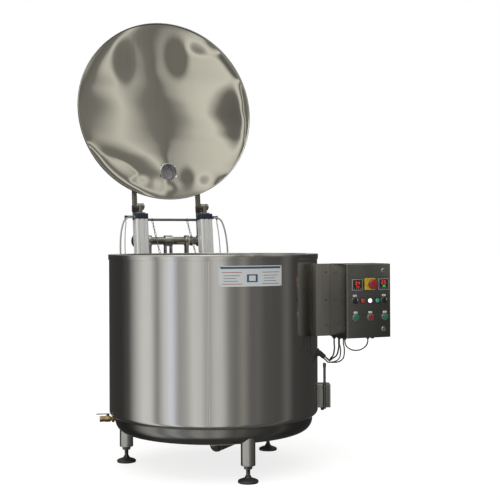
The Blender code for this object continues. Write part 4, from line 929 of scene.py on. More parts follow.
def make_arms():
    """Arms, axle, lugs and tie rod, drawn with the lid closed and then opened with it."""
    steel, dark = [], []
    x_end = LIFT_X + 0.018
    steel.append(rod((-x_end, HINGE_Y, HINGE_Z), (x_end, HINGE_Y, HINGE_Z), AXLE_RADIUS, 0.001, 48))
    dark.append(rod((-LIFT_X, TIE_ROD_Y, HINGE_Z), (LIFT_X, TIE_ROD_Y, HINGE_Z), 0.006, 0.0006, 32))
    for side in (-1, 1):
        x = side * LIFT_X
        steel.append(box((x - ARM_HALF, ARM_END_Y, HINGE_Z - ARM_HALF),
                         (x + ARM_HALF, HINGE_Y, HINGE_Z + ARM_HALF), 0.0022))
        steel.append(rod((x - 0.013, HINGE_Y, HINGE_Z), (x + 0.013, HINGE_Y, HINGE_Z), 0.0262, 0.0015, 56))
        steel.append(rod((side * 0.112, HINGE_Y, HINGE_Z), (side * 0.120, HINGE_Y, HINGE_Z), 0.0235, 0.001,
                         56))
        dark.append(screw((side * 0.116, HINGE_Y, HINGE_Z + 0.0232), (0, 0, 1), 0.003))
        end = side * x_end
        dark.append(screw((end - side * 0.0002, HINGE_Y, HINGE_Z), (side, 0, 0), 0.007, 0.0002))
        for y in (0.095, 0.330):
            foot = [(y - 0.022, LID_TOP + 0.0003), (y + 0.022, LID_TOP + 0.0003),
                    (y + 0.016, HINGE_Z - ARM_HALF + 0.001), (y - 0.016, HINGE_Z - ARM_HALF + 0.001)]
            steel.append(prism(foot, -0.013, 0.013, 0.001, on_x(x)))
        for cheek in (-0.0135, 0.0135):
            lug = [(PIN_Y + 0.0155, HINGE_Z - ARM_HALF + 0.002),
                   (PIN_Y - 0.0155, HINGE_Z - ARM_HALF + 0.002)]
            lug += arc((PIN_Y, PIN_Z), 0.0155, 180, 360, 16)
            steel.append(prism(lug, -0.004, 0.004, 0.0008, on_x(x + cheek)))
            way = math.copysign(1, cheek)
            dark.append(nut((x + cheek + way * 0.0038, PIN_Y, PIN_Z), (way, 0, 0), 0.0075, 0.0042))
        steel.append(box((x - 0.0095, ARM_END_Y - 0.0002, HINGE_Z - 0.0095),
                         (x + 0.0095, ARM_END_Y + 0.002, HINGE_Z + 0.0095), 0.0008))
    frame_mesh, fittings = joined(*steel), joined(*dark)
    for bm in (frame_mesh, fittings):
        bm.transform(LID_FRAME)
    emit("lid_arms", frame_mesh, ARM_STEEL, "lid", ("lid_arm_frame",))
    emit("lid_arm_fittings", fittings, CAST, "lid")


def make_hinge():
    steel = [box((-POST_X, 0.600, 0.860), (POST_X, 0.640, 0.8712), 0.0015)]
    for side in (-1, 1):
        x = side * POST_X
        steel.append(prism([(0.4385, 0.715), (0.4385, 0.868), (0.645, 0.868), (0.645, 0.852)], -0.005,
                           0.005,
                           0.0009, on_x(x)))
        steel.append(box((x - 0.022, 0.425, 0.866), (x + 0.022, 0.655, 0.872), 0.0012))
        post = [(0.597, 0.868), (0.633, 0.868), (0.633, HINGE_Z - 0.008), (0.597, HINGE_Z - 0.008)]
        steel.append(prism(post, -0.006, 0.006, 0.001, on_x(x)))
        steel.append(rod((x - 0.009, HINGE_Y, HINGE_Z), (x + 0.009, HINGE_Y, HINGE_Z), 0.0265, 0.0012, 56,
                         bore=AXLE_RADIUS + 0.0006))
    for x in (-0.014, 0.014):
        steel.append(box((x - 0.004, 0.601, 0.866), (x + 0.004, 0.629, 0.912), 0.001))
    steel.append(rod((-0.019, HINGE_Y, HINGE_Z), (0.019, HINGE_Y, HINGE_Z), 0.0255, 0.0012, 56,
                     bore=AXLE_RADIUS + 0.0006))
    emit("hinge_bracket", joined(*steel), SATIN, nodes=("hinge_frame",))
    bolts = [screw((side * POST_X + dx, y, 0.872), (0, 0, 1), 0.0048)
             for side in (-1, 1) for dx in (-0.014, 0.014) for y in (0.535, 0.575)]
    emit("hinge_bolts", joined(*bolts), ZINC)


def make_chains():
    """Two chains of oval links, each a quarter turn from the last, tight while the lid is open."""
    count, wide, wire = 11, 0.0036, 0.0013
    rod_y, rod_z = opened(TIE_ROD_Y, HINGE_Z)
    for name, x in zip(("left", "right"), CHAIN_X):
        top = Vector((x, rod_y, rod_z))
        foot = CHAIN_FOOT + Vector((x, 0, 0))
        run = foot - top
        frame_at = aimed(top, run)
        start, length = 0.0075, run.length - 0.012
        pitch = (length - start) / count
        links = []
        for k in range(count):
            middle = start + pitch * (k + 0.5)
            half = pitch / 2 + 0.0008
            loop = []
            for i in range(20):
                a = 2 * math.pi * i / 20
                reach = math.copysign(half - wide, math.sin(a)) if abs(math.sin(a)) > 1e-6 else 0
                loop.append(Vector((wide * math.cos(a), 0, reach + wide * math.sin(a))))
            turn = Matrix.Translation((0, 0, middle)) @ Matrix.Rotation(math.radians(90 * (k % 2)), 4, "Z")
            links.append(tube([frame_at @ turn @ p for p in loop], wire, 8, closed=True))
        ring = [top + Vector((0, 0.0074 * math.cos(a), 0.0074 * math.sin(a)))
                for a in [2 * math.pi * i / 20 for i in range(20)]]
        links.append(tube(ring, 0.0010, 8, closed=True))
        chain = emit(f"chain_{name}", joined(*links), DARK_ZINC,
                     nodes=(f"safety_chain_{name}",), smooth=60, rides=False)
        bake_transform(chain)
        anchor = joined(nut(foot - Vector((0, 0, 0.0004)), (0, 0, 1), 0.006, 0.003),
                        tube([foot + Vector((0, 0.0035 * math.cos(a), 0.0050 + 0.0035 * math.sin(a)))
                              for a in [2 * math.pi * i / 20 for i in range(20)]], 0.0010, 8, closed=True))
        emit(f"chain_anchor_{name}", anchor, DARK_ZINC, smooth=50)


make_lid()
make_arms()
make_hinge()
make_chains()


# ---- air cylinders ---------------------------------------------------------------------
def profile_outline(half):
    """Section of the extruded barrel: a square with two grooves in each side."""
    quarter = [(-half, -half + 0.006), (-half + 0.0012, -half + 0.0032), (-half + 0.0032, -half + 0.0012),
               (-half + 0.006, -half)]
    for middle in (-0.0115, 0.0115):
        quarter += [(middle - 0.0035, -half), (middle - 0.0028, -half + 0.0032),
                    (middle - 0.0028, -half + 0.0045),
                    (middle + 0.0028, -half + 0.0045), (middle + 0.0028, -half + 0.0032),
                    (middle + 0.0035, -half)]
    whole = []
    for turns in range(4):
        a = math.radians(90 * turns)
        whole += [(x * math.cos(a) - y * math.sin(a), x * math.sin(a) + y * math.cos(a)) for x,
                  y in quarter]
    return whole


def make_cylinder(side, name):
    x = side * LIFT_X
    at = LIFT_FRAME @ Matrix.Translation((x, 0, 0))
    half = BODY_HALF

    def emit_here(label, parts, material, body, nodes=(), smooth=32):
        bm = joined(*parts)
        bm.transform(at)
        return emit(f"{label}_{name}", bm, material, body, nodes, smooth)

    emit_here("barrel", [prism(profile_outline(half - 0.0006), TAIL + 0.026, HEAD - 0.026, 0)], ALUMINIUM,
              "barrels", (f"lift_cylinder_{name}",), 20)
    caps, bolts = [], []
    for low, high, out_z, way in ((HEAD - 0.026, HEAD, HEAD, 1), (TAIL, TAIL + 0.026, TAIL, -1)):
        caps.append(box((-half, -half, low), (half, half, high), 0.0032, segments=4))
        caps.append(box((-half + 0.0015, -half + 0.0015, low - 0.0008),
                        (half - 0.0015, half - 0.0015, high - 0.001),
                        0.001))
        for sx in (-1, 1):
            for sy in (-1, 1):
                bolts.append(screw((sx * 0.0225, sy * 0.0225, out_z - way * 0.0022), (0, 0, way), 0.0052,
                                   0.0020))
    emit_here("barrel_caps", caps, CAP_BLUE, "barrels")
    emit_here("barrel_bolts", bolts, ZINC, "barrels")

    lug = [(-0.0145, HEAD - 0.001), (0.0145, HEAD - 0.001)] + arc((0, REACH), 0.0145, 0, 180, 18)
    clevis = [prism(lug, -0.0085, 0.0085, 0.001, on_x(0)),
              box((-0.020, -0.0175, HEAD - 0.001), (0.020, 0.0175, HEAD + 0.006), 0.0015)]
    emit_here("clevis", clevis, CAST, "barrels")
    pin_bush = [rod((-0.0090, 0, REACH), (0.0090, 0, REACH), 0.0088, 0.0006, 40)]
    emit_here("clevis_bush", pin_bush, PLASTIC, "barrels")

    fittings, rings = [], []
    skin = side * half
    tip = skin + side * 0.036
    for z, sign in ((HEAD - 0.010, -1), (TAIL + 0.010, 1)):
        port_z = z + sign * 0.008
        fittings.append(nut((skin - side * 0.0005, -0.012, port_z), (side, 0, 0), 0.0075, 0.0050))
        rings.append(rod((skin + side * 0.004, -0.012, port_z), (skin + side * 0.0098, -0.012, port_z),
                         0.0062,
                         0.0012, 28))
        fittings.append(nut((skin - side * 0.0005, 0.012, z), (side, 0, 0), 0.0070, 0.0055))
        rings.append(rod((skin + side * 0.004, 0.012, z), (tip, 0.012, z), 0.0046, 0.0008, 28))
        rings.append(rod((tip, 0.012, z + (0.0048 if sign < 0 else -0.0048)),
                         (tip, 0.012, z + sign * 0.0118),
                         0.0058, 0.0016, 28))
    emit_here("port_nuts", fittings, ZINC, "barrels")
    emit_here("port_elbows", rings, PLASTIC, "barrels")

    low_bore = TAIL + 0.030
    shaft = [rod((0, 0, 0.010), (0, 0, low_bore + 0.010), 0.010, 0.0008, 48)]
    eye = lathe(eased([(0.0066, -0.008), (0.016, -0.008), (0.016, 0.008), (0.0066, 0.008)], 0.001, 3), 48,
                aimed((0, 0, 0), (1, 0, 0)))
    emit_here("lift_rod", shaft, CHROME, "rods", (f"piston_rod_{name}",))
    emit_here("lift_rod_eye", [eye, nut((0, 0, 0.0155), (0, 0, 1), 0.0150, 0.0080, 0.0099)], ZINC, "rods")
    wiper = [rod((0, 0, TAIL - 0.0030), (0, 0, TAIL + 0.001), 0.0165, 0.0012, 40, bore=0.0103)]
    emit_here("rod_wiper", wiper, PLASTIC, "barrels")

    base_y = math.sqrt(TANK_RADIUS ** 2 - (LIFT_X + 0.030) ** 2) - 0.002
    parts = [prism([(base_y, SWING.z - 0.045), (0.4235, SWING.z - 0.045), (0.4235, SWING.z + 0.030),
                    (base_y, SWING.z + 0.030)], -0.030, 0.030, 0.0012, on_x(x))]
    for cheek in (-0.0145, 0.0145):
        outline = [(0.415, SWING.z - 0.030), (SWING.y, SWING.z - 0.018)]
        outline += arc((SWING.y, SWING.z), 0.018, -90, 90, 14)[1:] + [(0.415, SWING.z + 0.025)]
        parts.append(prism(outline, -0.004, 0.004, 0.0008, on_x(x + cheek)))
    emit(f"lift_bracket_{name}", joined(*parts), SATIN,
         nodes=(f"cylinder_bracket_{name}",))
    pin_parts = [rod((x - 0.021, SWING.y, SWING.z), (x + 0.021, SWING.y, SWING.z), 0.006, 0.0006, 32)]
    for way in (-1, 1):
        pin_parts.append(nut((x + way * 0.0186, SWING.y, SWING.z), (way, 0, 0), 0.0085, 0.0040))
    emit(f"lift_bracket_pin_{name}", joined(*pin_parts), ZINC)


make_cylinder(-1, "left")
make_cylinder(1, "right")


# ---- control box -----------------------------------------------------------------------
def pan(low, high, wall, open_low_y, bevel=0.0015):
    """An open box of thin sheet: open towards -Y or towards +Y."""
    bm = bmesh.new()
    (x0, y0, z0), (x1, y1, z1) = low, high
    mouth, back = (y0, y1) if open_low_y else (y1, y0)
    deep = back - wall if open_low_y else back + wall

    def ring(y, inset):
        return [bm.verts.new(p) for p in ((x0 + inset, y, z0 + inset), (x1 - inset, y, z0 + inset),
                                          (x1 - inset, y, z1 - inset), (x0 + inset, y, z1 - inset))]
    outer_back, outer_mouth = ring(back, 0), ring(mouth, 0)
    inner_mouth, inner_back = ring(mouth, wall), ring(deep, wall)
    bm.faces.new(outer_back)
    bm.faces.new(inner_back)
    for a, b in ((outer_back, outer_mouth), (outer_mouth, inner_mouth), (inner_mouth, inner_back)):
        for k in range(4):
            n = (k + 1) % 4
            bm.faces.new((a[k], a[n], b[n], b[k]))
    rounded = [e for e in bm.edges if sum(v in outer_back for v in e.verts) >= 1]
    bmesh.ops.bevel(bm, geom=rounded, offset=bevel, segments=3, profile=0.5, affect="EDGES")
    return bm


def make_box():
    (x0, x1), (y0, y1), (z0, z1) = BOX_X, BOX_Y, BOX_Z
    front = y0 + DOOR_DEPTH
    housing = pan((x0, front, z0), (x1, y1, z1), 0.002, True)
    lips = [box((x0 + 0.002, front + 0.0002, z0 + 0.002), (x0 + 0.010, front + 0.0014, z1 - 0.002), 0.0004),
            box((x1 - 0.010, front + 0.0002, z0 + 0.002), (x1 - 0.002, front + 0.0014, z1 - 0.002), 0.0004)]
    emit("box_housing", joined(housing, *lips), BOX_STEEL, nodes=("control_box_housing",))
    seal = [box((x0 + 0.003, front - 0.0002, z), (x1 - 0.003, front + 0.0012, z + 0.004), 0.0005)
            for z in (z0 + 0.0035, z1 - 0.0075)]
    emit("box_seal", joined(*seal), RUBBER)
    low, high = z0 + 0.001, z1 - 0.0005
    heel = [(0.3565, y1 + 0.002), (0.374, y1 + 0.002), (0.374, y1 + 0.016), (0.3565, y1 + 0.016)]
    bracket = joined(box((0.352, y1 + 0.0003, low), (x1 - 0.030, y1 + 0.004, high), 0.001),
                     prism(heel, low, high, 0.001))
    emit("box_bracket", bracket, PLATE_STEEL, nodes=("control_box_bracket",))
    screws = [screw((0.400, y1 + 0.0004, z), (0, -1, 0), 0.0045) for z in (z0 + 0.045, PANEL_Z, z1 - 0.035)]
    emit("box_bracket_screws", joined(*screws), DARK_ZINC)

    tray = [box((x0 + 0.012, y1 - 0.0055, z0 + 0.020), (x1 - 0.012, y1 - 0.0035, z1 - 0.020), 0.0006)]
    emit("box_tray", joined(*tray), ZINC, nodes=("mounting_plate",))
    modules, rails = [], []
    for z, width, depth in ((0.760, 0.150, 0.045), (0.690, 0.120, 0.038), (0.615, 0.160, 0.030)):
        rails.append(box((x0 + 0.016, y1 - 0.0095, z - 0.0175), (x1 - 0.016, y1 - 0.0055, z + 0.0175),
                         0.0008))
        count = round(width / 0.018)
        for k in range(count):
            left = PANEL_X - width / 2 + width * k / count
            modules.append(box((left + 0.0004, y1 - 0.006 - depth, z - 0.024),
                               (left + width / count - 0.0004, y1 - 0.0095, z + 0.024), 0.0012))
    emit("box_rails", joined(*rails), ZINC)
    emit("box_modules", joined(*modules), PLASTIC)

    strip = box((x0 + 0.003, -0.350, z0 - 0.0028), (x1 - 0.020, -0.254, z0 - 0.0003), 0.0008)
    emit("gland_plate", strip, BOX_STEEL, nodes=("gland_strip",))
    glands = []
    for x, y, radius in GLANDS:
        at = Vector((x, y, GLAND_LOW))
        glands.append(nut(at + Vector((0, 0, 0.0042)), (0, 0, 1), radius, 0.0032))
        glands.append(lathe([(radius * 0.42, 0.0), (radius * 0.74, 0.0003), (radius * 0.86, 0.0016),
                             (radius * 0.90, 0.0043), (radius * 0.42, 0.0043)], 28, Matrix.Translation(at)))
        for k in range(10):
            a = 2 * math.pi * k / 10
            spot = at + Vector((math.cos(a), math.sin(a), 0)) * radius * 0.84
            glands.append(box(spot + Vector((-0.0006, -0.0006, 0.0016)),
                              spot + Vector((0.0006, 0.0006, 0.0041)),
                              0.0003, segments=1))
    spare = GLANDS[6]
    glands.append(rod((spare[0], spare[1], GLAND_LOW), (spare[0], spare[1], GLAND_LOW + 0.003), 0.005,
                      0.001, 24))
    emit("cable_glands", joined(*glands), PLASTIC)
    return front


def make_door(front):
    (x0, x1), (y0, _), (z0, z1) = BOX_X, BOX_Y, BOX_Z
    door = pan((x0 + 0.0005, y0, z0 + 0.0005), (x1 - 0.0005, front - 0.0006, z1 - 0.0005), 0.002, False,
               0.0022)
    emit("door_pan", door, BOX_STEEL, "door", ("control_box_door",))
    # Thin bright strips laid flat on the door's face: painted highlights along its left edge and its top.
    highlight_strips = [box((x0 + out, y0 - 0.0002, z0 + 0.003), (x0 + out + 0.0009, y0 + 0.0002, z1 - 0.003), 0.0)
             for out in (0.0022, 0.0060)]
    highlight_strips.append(box((x0 + 0.003, y0 - 0.0002, z1 - 0.0032), (x1 - 0.003, y0 + 0.0002, z1 - 0.0022), 0.0))
    emit("door_painted_highlights", joined(*highlight_strips), SILVER, "door")
    hinges = [rod((x0 + 0.0015, front - 0.0060, z), (x0 + 0.0015, front - 0.0060, z + 0.030), 0.0010,
                  0.0003, 12)
              for z in (z0 + 0.030, z1 - 0.060)]
    emit("door_hinge_pins", joined(*hinges), ZINC, "door")
    return y0


def digit(x, z, face, size, shape):
    """Seven-segment figure made of small bars; shape lists the lit segments."""
    wide, tall, thick = size * 0.5, size, size * 0.11
    spots = {"a": (0, tall / 2, 1), "g": (0, 0, 1), "d": (0, -tall / 2, 1), "f": (-wide / 2, tall / 4, 0),
             "b": (wide / 2, tall / 4, 0), "e": (-wide / 2, -tall / 4, 0), "c": (wide / 2, -tall / 4, 0)}
    bars = []
    for key in shape:
        dx, dz, level = spots[key]
        hx = wide * 0.38 if level else thick / 2
        hz = thick / 2 if level else tall * 0.20
        bars.append(box((x + dx - hx, face - 0.0005, z + dz - hz), (x + dx + hx, face, z + dz + hz), 0.0))
    return bars


FIGURES = {"3": "abgcd", "4": "fgbc", "2": "abged", "5": "afgcd", "0": "abcdef"}


def make_controllers(y0):
    for name, x, z in (("left", PANEL_X - 0.0547, PANEL_Z + 0.064),
                       ("right", PANEL_X + 0.0646, PANEL_Z + 0.0655)):
        outer = box((x - 0.024, y0 - 0.0052, z - 0.024), (x + 0.024, y0 - 0.0003, z + 0.024), 0.0016)
        frame_bars = []
        for lo, hi in (((-0.0236, -0.0236), (0.0236, -0.0200)), ((-0.0236, 0.0200), (0.0236, 0.0236)),
                       ((-0.0236, -0.0236), (-0.0200, 0.0236)), ((0.0200, -0.0236), (0.0236, 0.0236))):
            frame_bars.append(box((x + lo[0], y0 - 0.0083, z + lo[1]), (x + hi[0], y0 - 0.0050, z + hi[1]),
                                  0.0012))
        emit(f"controller_bezel_{name}", joined(outer, *frame_bars), SILVER, "door",
             (f"temperature_controller_{name}",))
        face = box((x - 0.0202, y0 - 0.0066, z - 0.0202), (x + 0.0202, y0 - 0.0050, z + 0.0202), 0.0006)
        body = box((x - 0.022, y0 - 0.0003, z - 0.022), (x + 0.022, y0 + 0.060, z + 0.022), 0.0015)
        keys = [box((x - 0.0165 + 0.0092 * k, y0 - 0.0074, z - 0.0176),
                    (x - 0.0105 + 0.0092 * k, y0 - 0.0060,
                    z - 0.0142), 0.0006) for k in range(4)]
        emit(f"controller_body_{name}", joined(face, body), PLASTIC, "door")
        emit(f"controller_keys_{name}", joined(*keys), SILVER, "door")
        shown, lower = [], []
        for k, figure in enumerate("34" if name == "left" else "25"):
            shown += digit(x - 0.0065 + 0.0125 * k, z + 0.0085, y0 - 0.0066, 0.0125, FIGURES[figure])
        shown.append(box((x - 0.0008, y0 - 0.0071, z + 0.0018), (x + 0.0006, y0 - 0.0066, z + 0.0030), 0.0))
        for k, figure in enumerate("40" if name == "left" else "30"):
            lower += digit(x - 0.0030 + 0.0080 * k, z - 0.0068, y0 - 0.0066, 0.0075, FIGURES[figure])
        emit(f"controller_reading_{name}", joined(*shown), RED_GLOW, "door")
        emit(f"controller_setting_{name}", joined(*lower), RED_GLOW if name == "left" else GREEN_GLOW,
             "door")
        dots = [screw((x + dx, y0, z + 0.0290), (0, -1, 0), 0.0026, 0.0012) for dx in (-0.014, 0.0, 0.014)]
        emit(f"controller_dots_{name}", joined(*dots), PLASTIC, "door")


def make_lock(name, x, z, y0):
    way = Vector((0, -1, 0))
    centre = Vector((x, y0, z))
    insert = lathe([(0, 0.0022), (0.0045, 0.0022), (0.0052, 0.0043), (0.0085, 0.0045), (0.0102, 0.0034),
                    (0.0105, 0.0004), (0, 0.0004)], 44, aimed(centre, way), False)
    key = box((x - 0.0040, y0 - 0.0036, z - 0.0010), (x + 0.0040, y0 - 0.0020, z + 0.0010), 0.0004)
    shaft = rod((x, y0 + 0.0005, z), (x, y0 + 0.0125, z), 0.0056, 0.0004, 28)
    cam = [(-0.006, -0.006), (0.018, -0.006), (0.0238, -0.002), (0.0238, 0.002), (0.018, 0.006),
           (-0.006, 0.006)]
    tongue = prism([(x + a, z + b) for a, b in cam], -(y0 + 0.0160), -(y0 + 0.0130), 0.0005,
                   FACING_FRONT)
    emit(f"lock_{name}", joined(insert, key, shaft, tongue), ZINC, f"door_lock_{name}",
         (f"door_lock_{name}",))


def tag(x, z, y0):
    """A blank marking tag: a white chip and one short ruled bar."""
    wide, tall = 0.0165, 0.0075
    chip = box((x - wide / 2, y0 - 0.0012, z - tall / 2), (x + wide / 2, y0 + 0.0002, z + tall / 2), 0.0004)
    line = box((x - wide * 0.30, y0 - 0.0014, z - 0.0008), (x + wide * 0.30, y0 - 0.0010, z + 0.0008), 0.0)
    return chip, line


def make_controls(y0):
    way = Vector((0, -1, 0))
    chips, lines = [], []
    x, z = PANEL_X + 0.0037, PANEL_Z + 0.068
    plate = joined(box((x - 0.024, y0 - 0.0033, z - 0.0235), (x + 0.024, y0 - 0.0003, z + 0.0235), 0.0014),
                   lathe(eased([(0.0118, 0.0030), (0.0150, 0.0030), (0.0142, 0.0160), (0.0118, 0.0160)],
                               0.0008, 2),
                         48, aimed((x, y0, z), way)))
    emit("stop_plate", plate, YELLOW, "door", ("emergency_stop_base",))
    head = lathe([(0, 0.0105), (0.0112, 0.0105), (0.0112, 0.0228), (0.0150, 0.0238), (0.0196, 0.0246),
                  (0.0204, 0.0265), (0.0205, 0.0295), (0.0200, 0.0325), (0.0180, 0.0352), (0.0140, 0.0371),
                  (0.0070, 0.0379), (0, 0.0380)], 56, aimed((x, y0, z), way), False)
    emit("stop_mushroom", head, RED, "emergency_stop_head", ("emergency_stop_head",),
         smooth=50)

    rings, row = [], PANEL_Z + 0.001
    for k, lens, label in ((-1, RED_LENS, "red"), (0, WHITE_LENS, "white"), (1, GREEN_LENS, "green")):
        lx = PANEL_X + k * CONTROL_PITCH + 0.0035
        rings.append(lathe(eased([(0.0086, 0.0003), (0.0112, 0.0003), (0.0108, 0.0036), (0.0086, 0.0040)],
                                 0.0006, 2),
                           44, aimed((lx, y0, row), way)))
        dome = lathe([(0, 0.0004), (0.0088, 0.0004), (0.0088, 0.0045), (0.0082, 0.0066), (0.0062, 0.0081),
                      (0.0032, 0.0088), (0, 0.0090)], 40, aimed((lx, y0, row), way), False)
        emit(f"lamp_{label}", dome, lens, "door", smooth=50)
    emit("lamp_rings", joined(*rings), PLASTIC, "door", ("indicator_lamps",))
    bodies = [rod((PANEL_X + k * CONTROL_PITCH + 0.0035, y0 + 0.002, row),
                  (PANEL_X + k * CONTROL_PITCH + 0.0035, y0 + 0.0075, row),
                  0.0082, 0.0008, 32) for k in (-1, 0, 1)]
    emit("lamp_bodies", joined(*bodies), PLASTIC, "door")

    for name, k in (("left", -2), ("right", 2)):
        sx = PANEL_X + k * CONTROL_PITCH + 0.0022
        base = lathe(eased([(0, 0.0006), (0.0125, 0.0006), (0.0121, 0.0085), (0.0108, 0.0108), (0, 0.0108)],
                           0.0008, 3, (0, 4)), 48, aimed((sx, y0, row), way), False)
        fin_outline = [(-0.0036, -0.0112), (0.0036, -0.0112), (0.0030, 0.0116), (-0.0030, 0.0116)]
        fin = prism([(sx + a, row + b) for a, b in fin_outline], -(y0 - 0.0098), -(y0 - 0.0228), 0.0010,
                    FACING_FRONT)
        emit(f"selector_knob_{name}", joined(base, fin), PLASTIC, f"selector_{name}",
             (f"selector_{name}",))
        mark = box((sx - 0.0006, y0 - 0.02295, row + 0.0020), (sx + 0.0006, y0 - 0.0226, row + 0.0100), 0.0)
        emit(f"selector_mark_{name}", mark, TAG_WHITE, f"selector_{name}")
        ring = lathe(eased([(0.0128, 0.0), (0.0142, 0.0), (0.0138, 0.0022), (0.0128, 0.0024)], 0.0005, 2),
                     44,
                     aimed((sx, y0, row), way))
        emit(f"selector_ring_{name}", ring, SILVER, "door")
        for part, pile in zip(tag(sx, row + 0.0205, y0), (chips, lines)):
            pile.append(part)
    bezels = []
    for name, k, colour in (("start", -1, GREEN), ("stop", 0, RED), ("reset", 1, GREEN)):
        bx, bz = PANEL_X + k * BUTTON_SPACING + 0.0058, PANEL_Z - 0.066
        cap = lathe([(0, 0.0046), (0.0103, 0.0046), (0.0103, 0.0104), (0.0097, 0.0114), (0.0085, 0.0117),
                     (0, 0.0112)], 48, aimed((bx, y0, bz), way), False)
        emit(f"button_{name}", cap, colour, f"push_button_{name}", (f"push_button_{name}",),
             smooth=50)
        bezels.append(lathe(eased([(0.0107, 0.0), (0.0145, 0.0), (0.0138, 0.0058), (0.0107, 0.0062)],
                                  0.0008, 3), 48,
                            aimed((bx, y0, bz), way)))
        for part, pile in zip(tag(bx, bz + 0.0200, y0), (chips, lines)):
            pile.append(part)
    emit("button_bezels", joined(*bezels), SILVER, "door")
    emit("marking_tags", joined(*chips), TAG_WHITE, "door")
    emit("marking_lines", joined(*lines), INK, "door")
    make_lock("upper", PANEL_X + BUTTON_SPACING, PANEL_Z + 0.1205, y0)
    make_lock("lower", PANEL_X + BUTTON_SPACING, PANEL_Z - 0.1155, y0)


door_face = make_door(make_box())
make_controllers(door_face)
make_controls(door_face)


# ---- fittings on the wall --------------------------------------------------------------
def make_wall_fittings():
    root_at = radial(GROMMET_ANGLE) * (TANK_RADIUS + 0.0002) + Vector((0, 0, GROMMET_Z))
    turn = aimed(GROMMET_MOUTH - GROMMET_AIM * 0.036, GROMMET_AIM)
    sleeve = lathe(eased([(0.0085, 0.0), (0.0108, 0.0), (0.0106, 0.028), (0.0095, 0.0358),
                          (0.0085, 0.0358)],
                         0.0008, 2), 40, turn)
    plug = lathe([(0, 0.030), (0.0087, 0.030), (0.0087, 0.0345), (0, 0.0345)], 40, turn, False)
    ribs = [lathe(arc((0.0102, z), 0.0009, 0, 330, 9), 40, turn) for z in (0.012, 0.017, 0.022)]
    collar = lathe(eased([(0.006, -0.002), (0.0168, -0.002), (0.0160, 0.0050), (0.0110, 0.0058),
                          (0.006, 0.0058)],
                         0.001, 3), 44, aimed(root_at, radial(GROMMET_ANGLE)))
    emit("grommet", joined(sleeve, plug, *ribs, collar), RUBBER,
         nodes=("wall_grommet",))

    facing = Matrix.Rotation(math.radians(TERMINAL_ANGLE), 4, "Z")
    face = TANK_RADIUS + 0.052
    case = [box((TANK_RADIUS - 0.002, -0.030, 0.236), (face - 0.009, 0.030, 0.334), 0.0016, facing),
            box((face - 0.0095, -0.030, 0.236), (face, 0.030, 0.334), 0.0022, facing)]
    for y in (-0.018, -0.009, 0.0, 0.009, 0.018):
        case.append(box((face - 0.0012, y - 0.0012, 0.250), (face - 0.0001, y + 0.0012, 0.320), 0.0005,
                        facing))
    emit("terminal_case", joined(*case), BOX_STEEL, nodes=("terminal_box",))
    corner = [screw(facing @ Vector((face - 0.0006, y, z)), facing @ Vector((1, 0, 0)), 0.0028, 0.0006)
              for y in (-0.024, 0.024) for z in (0.242, 0.328)]
    conduit = facing @ Vector((TANK_RADIUS + 0.026, -0.037, 0))
    low, high = conduit + Vector((0, 0, 0.232)), conduit + Vector((0, 0, 0.416))
    steel = [rod(low, high, 0.0055, 0.0006, 32),
             rod(high - Vector((0, 0, 0.011)), high + Vector((0, 0, 0.0078)), 0.0067, 0.0014, 32)]
    for z in (0.250, 0.320):
        steel.append(box((TANK_RADIUS + 0.020, -0.040, z - 0.004), (TANK_RADIUS + 0.032, -0.025, z + 0.004),
                         0.001,
                         facing))
        steel.append(rod(conduit + Vector((0, 0, z - 0.004)), conduit + Vector((0, 0, z + 0.004)), 0.0072,
                         0.0008,
                         28))
    emit("conduit", joined(*steel, *corner), DARK_ZINC)
    gland = facing @ Vector((TANK_RADIUS + 0.020, -0.002, 0.222))
    emit("terminal_gland",
         joined(lathe([(0, 0), (0.0060, 0), (0.0072, 0.003), (0.0074, 0.009), (0, 0.009)], 28,
                                        Matrix.Translation(gland), False),
                                  nut(gland + Vector((0, 0, 0.009)), (0, 0, 1), 0.0090, 0.0055)), PLASTIC)

    spout, level = radial(DRAIN_ANGLE), Vector((0, 0, DRAIN_Z))
    body = [rod(spout * 0.400 + level, spout * 0.474 + level, 0.0085, 0.0008, 36, bore=0.0060)]
    for near, far, radius in ((0.414, 0.424, 0.0153), (0.4305, 0.452, 0.0134), (0.462, 0.474, 0.0129)):
        body.append(lathe(eased([(0.0062, 0), (radius, 0), (radius, far - near), (0.0062, far - near)],
                                0.0010, 2), 6,
                          aimed(spout * near + level, spout)))
        body.append(rod(spout * (near - 0.0006) + level, spout * (far + 0.0004) + level, radius * 0.90,
                        0.0008, 36,
                        bore=0.0062))
    hub = spout * 0.441
    body.append(rod(hub + level + Vector((0, 0, 0.006)), hub + level + Vector((0, 0, 0.0184)), 0.006,
                    0.0008, 28))
    body.append(rod(spout * 0.4432 + level, spout * 0.4628 + level, 0.0112, 0.002, 36))
    emit("drain_body", joined(*body), BRASS, nodes=("drain_valve",))
    turn = Matrix.Translation(hub) @ Matrix.Rotation(math.radians(DRAIN_ANGLE), 4, "Z")
    outline = [(-0.008, -0.0068), (0.016, -0.0050), (0.040, -0.0068), (0.0478, -0.0040), (0.0478, 0.0040),
               (0.040, 0.0068), (0.016, 0.0050), (-0.008, 0.0068)]
    lever = prism(eased(outline, 0.004, 3), 0.2189, 0.2217, 0.0008, turn)
    emit("drain_handle", lever, DARK_ZINC, "drain_lever", ("drain_lever",))


make_wall_fittings()


